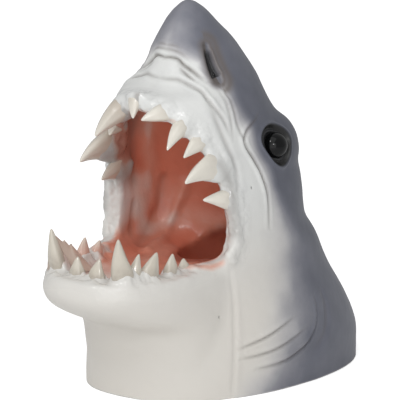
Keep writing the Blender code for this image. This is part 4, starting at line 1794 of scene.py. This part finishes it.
@dataclass(frozen=True)
class Airbrush:
    """Where the painter's airbrush and brush laid each coat on the casting, and where shade is painted in.

    Attributes:
        depths: heights, and how much of the slate's full strength its darkest part has there.
        border: heights, the angle where the slate starts there, and the spread over which it deepens, in degrees.
        cheek_fade: heights, and how far behind the lip the lining's paint starts there and reaches its strength.
        floor_fade: places along the mouth's floor, and how strong the lining's paint is there.
        side_fade: the same across the floor.
        rim_stripe: the line by the mouth's corner along which that paint ran over the rim.
        edge_shade: the line of brown painted shade inside the edge of the cheek.
        throat: the middle and the radii of the dark brown down the throat, partly paint and partly painted shade of
            its depth, set off towards the left.
    """

    depths: tuple = (
        (0.0, 60.0, 120.0, 160.0, 185.0, 205.0, 225.0, 242.0),
        (0.8, 0.9, 1.0, 1.0, 0.92, 0.82, 0.78, 0.66),
    )
    border: tuple = (
        (0.0, -44.0, 44.0),
        (14.0, -36.0, 46.0),
        (34.0, -31.0, 50.0),
        (60.0, -28.0, 50.0),
        (85.0, -19.0, 46.0),
        (100.0, -13.0, 36.0),
        (113.0, -9.0, 23.0),
        (128.0, -9.0, 13.0),
        (147.0, -13.0, 13.0),
        (163.0, -15.0, 14.0),
        (178.0, -17.0, 16.0),
        (188.0, -22.0, 22.0),
        (197.0, -32.0, 28.0),
        (206.0, -52.0, 42.0),
        (213.0, -98.0, 82.0),
        (219.0, -145.0, 118.0),
        (228.0, -190.0, 160.0),
        (245.0, -260.0, 180.0),
    )
    cheek_fade: tuple = (
        (87.0, 104.0, 118.0, 130.0, 140.0),
        (-1.0, 1.0, 1.0, -4.0, -9.0),
        (14.0, 56.0, 44.0, 14.0, -3.0),
    )
    floor_fade: tuple = ((-125.0, -95.0, -62.0, -45.0), (0.2, 0.4, 0.8, 1.0))
    side_fade: tuple = ((33.0, 43.0), (1.0, 0.55))
    rim_stripe: tuple = ((36.0, -80.0, 85.0), (42.0, -72.5, 84.5), (46.5, -65.0, 84.0), (49.0, -58.5, 86.0))
    edge_shade: tuple = ((47.0, -58.0, 148.0), (50.5, -52.5, 137.0), (53.0, -52.0, 125.0), (53.5, -50.5, 104.0))
    throat: tuple = ((8.0, -16.0, 71.0), (24.0, 34.0, 17.0))

    def spray_skin(self, clay: Clay, form: LevelLoft, hollow: np.ndarray) -> None:
        """Fades slate over the back, and a warmer, darker white over the lower half as painted shade.

        Args:
            clay: the casting's surface.
            form: the head's own body.
            hollow: how surely each vertex belongs to the mouth's hollow.
        """
        points, height = clay.points, clay.points[:, 2]
        border = np.array(self.border)
        start, spread = (np.interp(height, border[:, 0], border[:, k]) for k in (1, 2))
        along = np.clip((form.angles(points) + 2.0 * drift(points, 30.0, 6) - start) / spread, 0.0, 1.0)
        # Part of the fade is straight, so that the white greys early, and the rest is soft at both ends
        slate = (0.35 * along + 0.65 * along * along * (3.0 - 2.0 * along)) * np.interp(height, *self.depths)
        slate += 0.05 * drift(points, 22.0, 5) * smooth(0.1, 0.5, slate)
        clay.coat(Coat.SLATE, slate * (1.0 - smooth(0.0, 0.3, hollow)))
        # Painted shade: the white darkens and warms towards the foot, away from the top light
        clay.coat(Coat.WARM, smooth(135.0, 50.0, height) * smooth(0.5, 0.0, slate))

    @staticmethod
    def corner_share(points: np.ndarray) -> np.ndarray:
        """How near points lie to the mouth's corners, from 0 in front to 1 there."""
        return smooth(-100.0, -70.0, points[:, 1])

    def spray_lining(self, clay: Clay, mouth: Mouth, hollow: np.ndarray, pale_and_highlight: np.ndarray) -> None:
        """Fades pink in behind the lips, over the mouth's floor and down the throat.

        Args:
            clay: the casting's surface.
            mouth: gives the lips and the lower row of teeth.
            hollow: how surely each vertex belongs to the mouth's hollow.
            pale_and_highlight: how much of the paint each vertex lacks, which paints in highlight on the lining's
                ridges and shade in its valleys.
        """
        points, height = clay.points, clay.points[:, 2]
        # It fades in wide and white on the cheeks, and narrow under the roof
        depth = points[:, 1] - mouth.lip_line(height) + 1.5 * drift(points, 18.0, 11)
        near_edge, full_edge = (np.interp(height, self.cheek_fade[0], row) for row in self.cheek_fade[1:])
        above = np.clip((depth - near_edge) / (full_edge - near_edge), 0.0, 1.0)
        row = mouth.gum_distance(Jaw.LOWER, points)
        corner = self.corner_share(points)
        basin = smooth(8.0 - 8.0 * corner, 18.0 - 12.0 * corner, row + 1.5 * drift(points, 9.0, 12))
        basin *= np.interp(points[:, 1], *self.floor_fade)
        basin *= np.interp(clay.folded[:, 0], *self.side_fade)
        low = smooth(mouth.corner_height + 9.0, mouth.corner_height - 2.0, height)
        cover = low * basin + (1.0 - low) * above
        lining = hollow * cover * (1.0 - np.clip(pale_and_highlight, 0.0, 0.8)) - np.minimum(pale_and_highlight, 0.0) * 0.3 * hollow
        clay.coat(Coat.LINING, np.clip(lining, 0.0, 1.0))
        stripe = even_steps(np.array(self.rim_stripe))
        clay.coat(Coat.LINING, 0.5 * bell(line_distance(clay.folded, stripe), 2.3))
        # The dark brown down the throat is partly paint and partly painted shade of its depth
        middle, radii = self.throat
        well = np.sqrt((((points - middle) / radii) ** 2).sum(1))
        clay.coat(Coat.GULLET, hollow * smooth(1.14, 0.86, well))
        clay.coat(Coat.WET, 0.5 * hollow)

    def shade_gums(self, clay: Clay, mouth: Mouth, hollow: np.ndarray) -> None:
        """Paints brown shade on the gums and between the teeth, and a blush on the inner side of the lower gum.

        Args:
            clay: the casting's surface.
            mouth: gives the lines of the gums.
            hollow: how surely each vertex belongs to the mouth's hollow.
        """
        points, height = clay.points, clay.points[:, 2]
        row, arch = (mouth.gum_distance(jaw, points) for jaw in (Jaw.LOWER, Jaw.UPPER))
        # Brown painted shade inside the edge of the cheek
        wash = even_steps(np.array(self.edge_shade))
        clay.coat(Coat.UMBER, 0.42 * bell(line_distance(clay.folded, wash), 3.6) * (1.0 - hollow))
        # Brown painted shade on the inner side of the upper gum, towards the back of the mouth
        inner = smooth(0.1, -0.5, clay.folded_normals[:, 0]) * smooth(25.0, 13.0, arch) * smooth(112.0, 126.0, height)
        clay.coat(Coat.UMBER, 0.6 * inner * smooth(-30.0, -42.0, points[:, 1]))
        # Brown painted shade between the lower teeth, where they stand in the gum
        between = bell(row, 4.5) * smooth(90.0, 84.0, height) * (1.0 - hollow)
        clay.coat(Coat.UMBER, between * (0.25 + 0.25 * drift(points, 7.0, 41)))
        lower_gum = smooth(3.0, 9.0, row) * smooth(22.0, 9.0, row) * hollow * (height < 96.0)
        clay.coat(Coat.BLUSH, 0.45 * lower_gum * (1.0 - self.corner_share(points)))


@dataclass(frozen=True)
class HeadCasting:
    """The whole casting: its joined forms, its folds and its paint."""

    neck: Neck
    mouth: Mouth
    eye: Eye
    nostril: Nostril
    airbrush: Airbrush
    # The size of the surface's faces where nothing small comes
    voxel: float = 1.95
    # Air bubbles of the casting that were left open, as heights and degrees
    pinholes: tuple = ((52.1, -40.0), (130.3, -14.0))

    def build(self, finish: bpy.types.Material) -> bpy.types.Object:
        """Builds and dresses the casting.

        Args:
            finish: the paint of the whole casting, which reads the coats.

        Returns:
            The finished piece.
        """
        body = self.neck.body()
        combine(body, [self.mouth.jaw(), *self.neck.brows()], Boolean.JOIN)
        hollows = self.mouth.hollows()
        inside = self.surface_tree(hollows[1:])
        combine(body, hollows, Boolean.CUT)
        gather(body, [*self.mouth.lips(), *UPPER_TEETH.gums(self.mouth), *LOWER_TEETH.gums(self.mouth)])
        remesh = body.modifiers.new("clay", "REMESH")
        remesh.mode = "VOXEL"
        remesh.voxel_size = self.voxel * MM
        settle(body)
        clay = Clay(body)
        clay.relax(5)
        self.eye.find(clay, self.neck.form)
        creases = {fold: self.skin_path(fold.places) for fold in FOLDS}
        slit = self.skin_path(self.nostril.places)
        self.refine(clay, creases, slit)
        hollow = self.hollow_share(clay, inside)
        self.model_gums(clay)
        self.model_skin(clay, creases, slit)
        pale_and_highlight = self.model_lining(clay, hollow)
        self.airbrush.spray_skin(clay, self.neck.form, hollow)
        self.airbrush.spray_lining(clay, self.mouth, hollow, pale_and_highlight)
        self.airbrush.shade_gums(clay, self.mouth, hollow)
        clay.hand_over()
        combine(body, self.neck.ground(), Boolean.CUT)
        body.data.shade_smooth()
        body.data.materials.clear()
        body.data.materials.append(finish)
        return body

    @staticmethod
    def surface_tree(shapes: Sequence[bpy.types.Object]) -> BVHTree:
        """A search tree of the mouth's hollow, which tells the lining from the skin.

        Args:
            shapes: the parts of the hollow.

        Returns:
            The tree, in millimetres.
        """
        points, faces = [], []
        for shape in shapes:
            start = len(points)
            points += [vert.co / MM for vert in shape.data.vertices]
            faces += [tuple(start + i for i in face.vertices) for face in shape.data.polygons]
        return BVHTree.FromPolygons(points, faces)

    @staticmethod
    def hollow_share(clay: Clay, inside: BVHTree) -> np.ndarray:
        """How surely each vertex belongs to the mouth's hollow, from 0 to 1."""
        return smooth(4.5, 2.2, np.array([inside.find_nearest(point)[3] for point in clay.points]))

    def skin_path(self, places: Sequence[tuple[float, float]]) -> SkinPath:
        """A path over the left side, in even steps.

        Args:
            places: heights and degrees that it passes through.

        Returns:
            The path's points and the directions straight out along it.
        """
        rows = spline(np.array(places), np.linspace(0.0, len(places) - 1.0, 16 * len(places)))
        points, outward = (np.array(part) for part in zip(*(self.neck.form.skin(*row) for row in rows)))
        return even_steps(points), even_steps(points, outward)

    def refine(self, clay: Clay, creases: dict[Fold, SkinPath], slit: SkinPath) -> None:
        """Makes the mesh finer where small forms come: gums, creases, nostrils and eyes.

        Args:
            clay: the casting's surface.
            creases: each fold's path.
            slit: the nostril's path.
        """
        fine = self.mouth.gum_distance(Jaw.UPPER, clay.points) < 8.0
        fine |= self.mouth.gum_distance(Jaw.LOWER, clay.points) < 9.0
        for fold, path in creases.items():
            # Broad folds show well enough on the coarse mesh
            if fold.width < 2.5:
                fine[clay.near(*path, 3.5)[0]] = True
        fine[clay.near(*slit, 7.0)[0]] = True
        fine |= ((clay.folded - self.eye.centre) ** 2).sum(1) < 18.0**2
        holes = np.array([self.neck.form.skin(*place)[0] for place in self.pinholes])
        fine |= line_distance(clay.points, holes) < 8.0
        clay.refine(fine)
        clay.relax(2, 0.4)
        finer = ((clay.folded - self.eye.centre) ** 2).sum(1) < 17.0**2
        finer |= line_distance(clay.points, holes) < 5.0
        finer[clay.near(*slit, 6.0)[0]] = True
        clay.refine(finer)
        clay.relax(2, 0.4)

    def model_gums(self, clay: Clay) -> None:
        """Raises lumps on the gums, a crest and a trough on the lower lip, and gives the skin the look of handwork.

        Args:
            clay: the casting's surface.
        """
        points = clay.points
        row, arch = (self.mouth.gum_distance(jaw, points) for jaw in (Jaw.LOWER, Jaw.UPPER))
        lumps = smooth(11.0, 5.0, row) * (0.8 * drift(points, 8.0, 3) + 0.35 * drift(points, 4.0, 4))
        lumps += smooth(11.0, 4.0, arch) * (0.7 * drift(points, 9.0, 7) + 0.3 * drift(points, 4.0, 8))
        # The skin has broad, faint waves, finer ones, and a rough patch in front of the gills
        rough = bell(line_distance(clay.folded, self.skin_path(((35.0, -31.0), (27.0, -29.0)))[0]), 4.0)
        hand = 0.25 * drift(points, 24.0, 21) + 0.08 * drift(points, 7.0, 22)
        hand += 0.3 * rough * drift(points, 3.2, 23)
        # The lower lip has a crest, and a trough between it and the teeth
        crest, trough = (self.mouth.rim_line(inset, drop) for inset, drop in ((4.0, 4.5), (9.0, 0.5)))
        lumps += 1.0 * bell(line_distance(points, crest), 2.4)
        lumps -= 1.3 * bell(line_distance(points, trough), 2.6)
        # The right corner of the mouth was modelled a little further back
        clay.points[:, 1] += 4.5 * bell(np.linalg.norm(points - (-54.0, -57.0, 90.0), axis=1), 11.0)
        clay.press(lumps + hand)
        clay.coat(Coat.WET, smooth(17.0, 9.0, row))
        clay.coat(Coat.WET, smooth(12.0, 7.0, arch))

    def model_skin(self, clay: Clay, creases: dict[Fold, SkinPath], slit: SkinPath) -> None:
        """Presses the creases, the nostrils and the eyes' hollows into the skin.

        Args:
            clay: the casting's surface.
            creases: each fold's path.
            slit: the nostril's path.
        """
        offset = np.zeros(len(clay.points))
        for fold, path in creases.items():
            index, distance, share, side = clay.near(*path, fold.width * 4.0)
            taper = np.sqrt(np.clip(np.sin(math.pi * np.clip(share, 0.01, 0.99)), 0.0, 1.0))
            offset[index] -= fold.depth * taper * bell(distance, fold.width)
            offset[index] += fold.depth * fold.lip * taper * bell(distance - 2.1 * fold.width, 1.1 * fold.width)
            offset[index] += fold.step * taper * side * bell(distance - fold.width, 2.0 * fold.width) * 0.5
            # Painted shade darkens each crease
            clay.coat(Coat.UMBER, fold.painted_shade * taper * bell(distance, max(0.9, 0.8 * fold.width)), index)
        for place in self.pinholes:
            index, distance, _, _ = clay.near(*self.skin_path((place, (place[0] + 0.4, place[1]))), 2.0)
            offset[index] -= 0.8 * bell(distance, 0.5)
            # The open bubbles are painted dark, as the shade inside them
            clay.coat(Coat.BLACK, 0.6 * bell(distance, 0.5), index)
        clay.press(offset)
        self.nostril.press(clay, *slit)
        self.eye.press(clay)

    def model_lining(self, clay: Clay, hollow: np.ndarray) -> np.ndarray:
        """Models the lining's ridges and valleys.

        Args:
            clay: the casting's surface.
            hollow: how surely each vertex belongs to the mouth's hollow.

        Returns:
            How much of the lining's paint each vertex lacks, below 0 where it has more: paler as painted highlight on
            the ridges, deeper as painted shade in the valleys.
        """
        pale_and_highlight = np.zeros(len(clay.points))
        offset = np.zeros(len(clay.points))
        for fold in LINING_FOLDS:
            places = np.array(fold.places, float)
            curve = spline(places, np.linspace(0.0, len(places) - 1.0, 12 * len(places)))
            near = bell(line_distance(clay.folded, even_steps(curve)), fold.width) * hollow
            offset += fold.rise * near
            pale_and_highlight += fold.pale_and_highlight * near
            # The brown in the valleys is painted shade
            clay.coat(Coat.UMBER, fold.brown * near)
        offset += 0.35 * drift(clay.points, 13.0, 31) * hollow
        clay.press(offset)
        return pale_and_highlight


# ---------------------------------------------------------------------------
# Studio
# ---------------------------------------------------------------------------


def direction(azimuth: float, elevation: float) -> Vector:
    """The direction from the figurine towards something, 0 degrees being in front of it.

    Args:
        azimuth: degrees round towards the shark's left.
        elevation: degrees up.

    Returns:
        The direction, at length 1.
    """
    turn, lift = math.radians(azimuth), math.radians(elevation)
    return Vector((math.sin(turn) * math.cos(lift), -math.cos(turn) * math.cos(lift), math.sin(lift)))


@dataclass(frozen=True)
class SoftBox:
    """A square lamp that points at the middle of the figurine.

    Attributes:
        name: the lamp's name.
        azimuth: degrees round from the front, towards the shark's left.
        elevation: degrees up.
        size: the length of its sides in metres.
        power: its power in watts.
        distance: how far it is from what it points at, in metres.
        target_height: the height of that point in metres.
    """

    name: str
    azimuth: float
    elevation: float
    size: float
    power: float
    distance: float = 1.5
    target_height: float = 0.12

    def build(self) -> None:
        """Adds the lamp to the scene."""
        back = direction(self.azimuth, self.elevation)
        data = bpy.data.lights.new(self.name, "AREA")
        data.shape = "SQUARE"
        data.size = self.size
        data.energy = self.power
        lamp = bpy.data.objects.new(self.name, data)
        lamp.location = Vector((0.0, 0.0, self.target_height)) + back * self.distance
        lamp.rotation_euler = back.to_track_quat("Z", "Y").to_euler()
        bpy.context.scene.collection.objects.link(lamp)


@dataclass(frozen=True)
class Studio:
    """The camera, the soft light and the white sweep."""

    azimuth: float = 40.0
    elevation: float = 14.0
    distance: float = 10.0
    frame_width: float = 0.25
    # Where the picture's middle lies, right and up of the foot's centre as the camera sees it
    aim_right: float = -0.013125
    aim_up: float = 0.1038125
    sensor_mm: float = 36.0
    # The strength of the light that comes evenly from all round
    ambient: float = 0.47
    # Two broad lamps light the form, and two small ones give the lacquer and the eye their sparks
    lamps: tuple[SoftBox, ...] = (
        SoftBox("top_soft_box", 10.0, 60.0, 1.4, 4.6),
        SoftBox("front_soft_box", 30.0, 8.0, 1.4, 6.0),
        SoftBox("spark", 34.0, 25.0, 0.22, 2.2),
        SoftBox("side_spark", -6.0, 46.0, 0.2, 1.6),
    )
    floor_half: float = 6.0

    def add_camera(self) -> None:
        """Adds a camera with a long lens at the figurine's front left."""
        turn = math.radians(self.azimuth)
        right = Vector((math.cos(turn), math.sin(turn), 0.0))
        back = direction(self.azimuth, self.elevation)
        up = back.cross(right)
        data = bpy.data.cameras.new("camera")
        data.sensor_width = self.sensor_mm
        data.lens = self.sensor_mm * self.distance / self.frame_width
        camera = bpy.data.objects.new("camera", data)
        camera.location = right * self.aim_right + up * self.aim_up + back * self.distance
        camera.rotation_euler = back.to_track_quat("Z", "Y").to_euler()
        bpy.context.scene.collection.objects.link(camera)
        bpy.context.scene.camera = camera

    def add_world(self) -> None:
        """Adds even light all round, and white behind the figurine."""
        world = bpy.data.worlds.new("soft_white")
        world.use_nodes = True
        bpy.context.scene.world = world
        tree = world.node_tree
        tree.nodes.clear()
        path = add_node(tree, "ShaderNodeLightPath")
        seen = add_node(
            tree,
            "ShaderNodeMath",
            {"operation": "MAXIMUM"},
            {0: path.outputs["Is Camera Ray"], 1: path.outputs["Is Transmission Ray"]},
        ).outputs["Value"]
        shown = add_node(tree, "ShaderNodeBackground", sockets={"Color": "#FFFFFF", "Strength": 1.0})
        light = add_node(tree, "ShaderNodeBackground", sockets={"Color": "#FFFFFF", "Strength": self.ambient})
        mix = add_node(
            tree,
            "ShaderNodeMixShader",
            sockets={0: seen, 1: light.outputs["Background"], 2: shown.outputs["Background"]},
        )
        add_node(tree, "ShaderNodeOutputWorld", sockets={"Surface": mix.outputs["Shader"]})

    def add_floor(self, finish: bpy.types.Material) -> None:
        """Adds the paper sweep that the figurine stands on.

        Args:
            finish: the paper.
        """
        bm = bmesh.new()
        bmesh.ops.create_grid(bm, x_segments=4, y_segments=4, size=self.floor_half)
        mesh = bpy.data.meshes.new("floor")
        bm.to_mesh(mesh)
        bm.free()
        mesh.materials.append(finish)
        floor = new_piece("floor", mesh)

    def build(self) -> None:
        """Builds the studio round the figurine."""
        self.add_camera()
        self.add_world()
        for lamp in self.lamps:
            lamp.build()
        self.add_floor(PaperSweep().build())
        bpy.context.scene.view_settings.view_transform = "Standard"


def place_piece(piece: bpy.types.Object) -> None:
    """Makes a piece part of the figurine.

    Args:
        piece: the finished piece, in its place.
    """
    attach(piece, "root")
    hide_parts("shark_head")
    triangles = sum(len(face.vertices) - 2 for face in piece.data.polygons)
    LOG.info("%s: %d triangles", piece.name, triangles)


def main() -> None:
    """Builds the figurine and its studio, in order."""
    logging.basicConfig(level=logging.INFO, format="%(name)s: %(message)s")
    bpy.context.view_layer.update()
    Studio().build()
    mouth, eye = Mouth(), Eye()
    # The lower teeth are painted a darker, greyer ivory, as painted shade away from the top light, and caught a
    # lighter pink
    shaded_ivory = IvoryPaint("shaded_ivory_paint", "#CFC8BA", "#A2978A", "#F2C3B2")
    pieces = [
        HeadCasting(Neck(), mouth, eye, Nostril(), Airbrush()).build(PaintedPolyresin().build()),
        UPPER_TEETH.build(mouth, IvoryPaint().build()),
        LOWER_TEETH.build(mouth, shaded_ivory.build()),
        eye.balls(BlackGlossPaint().build()),
    ]
    for piece in pieces:
        place_piece(piece)


if __name__ == "__main__":
    main()
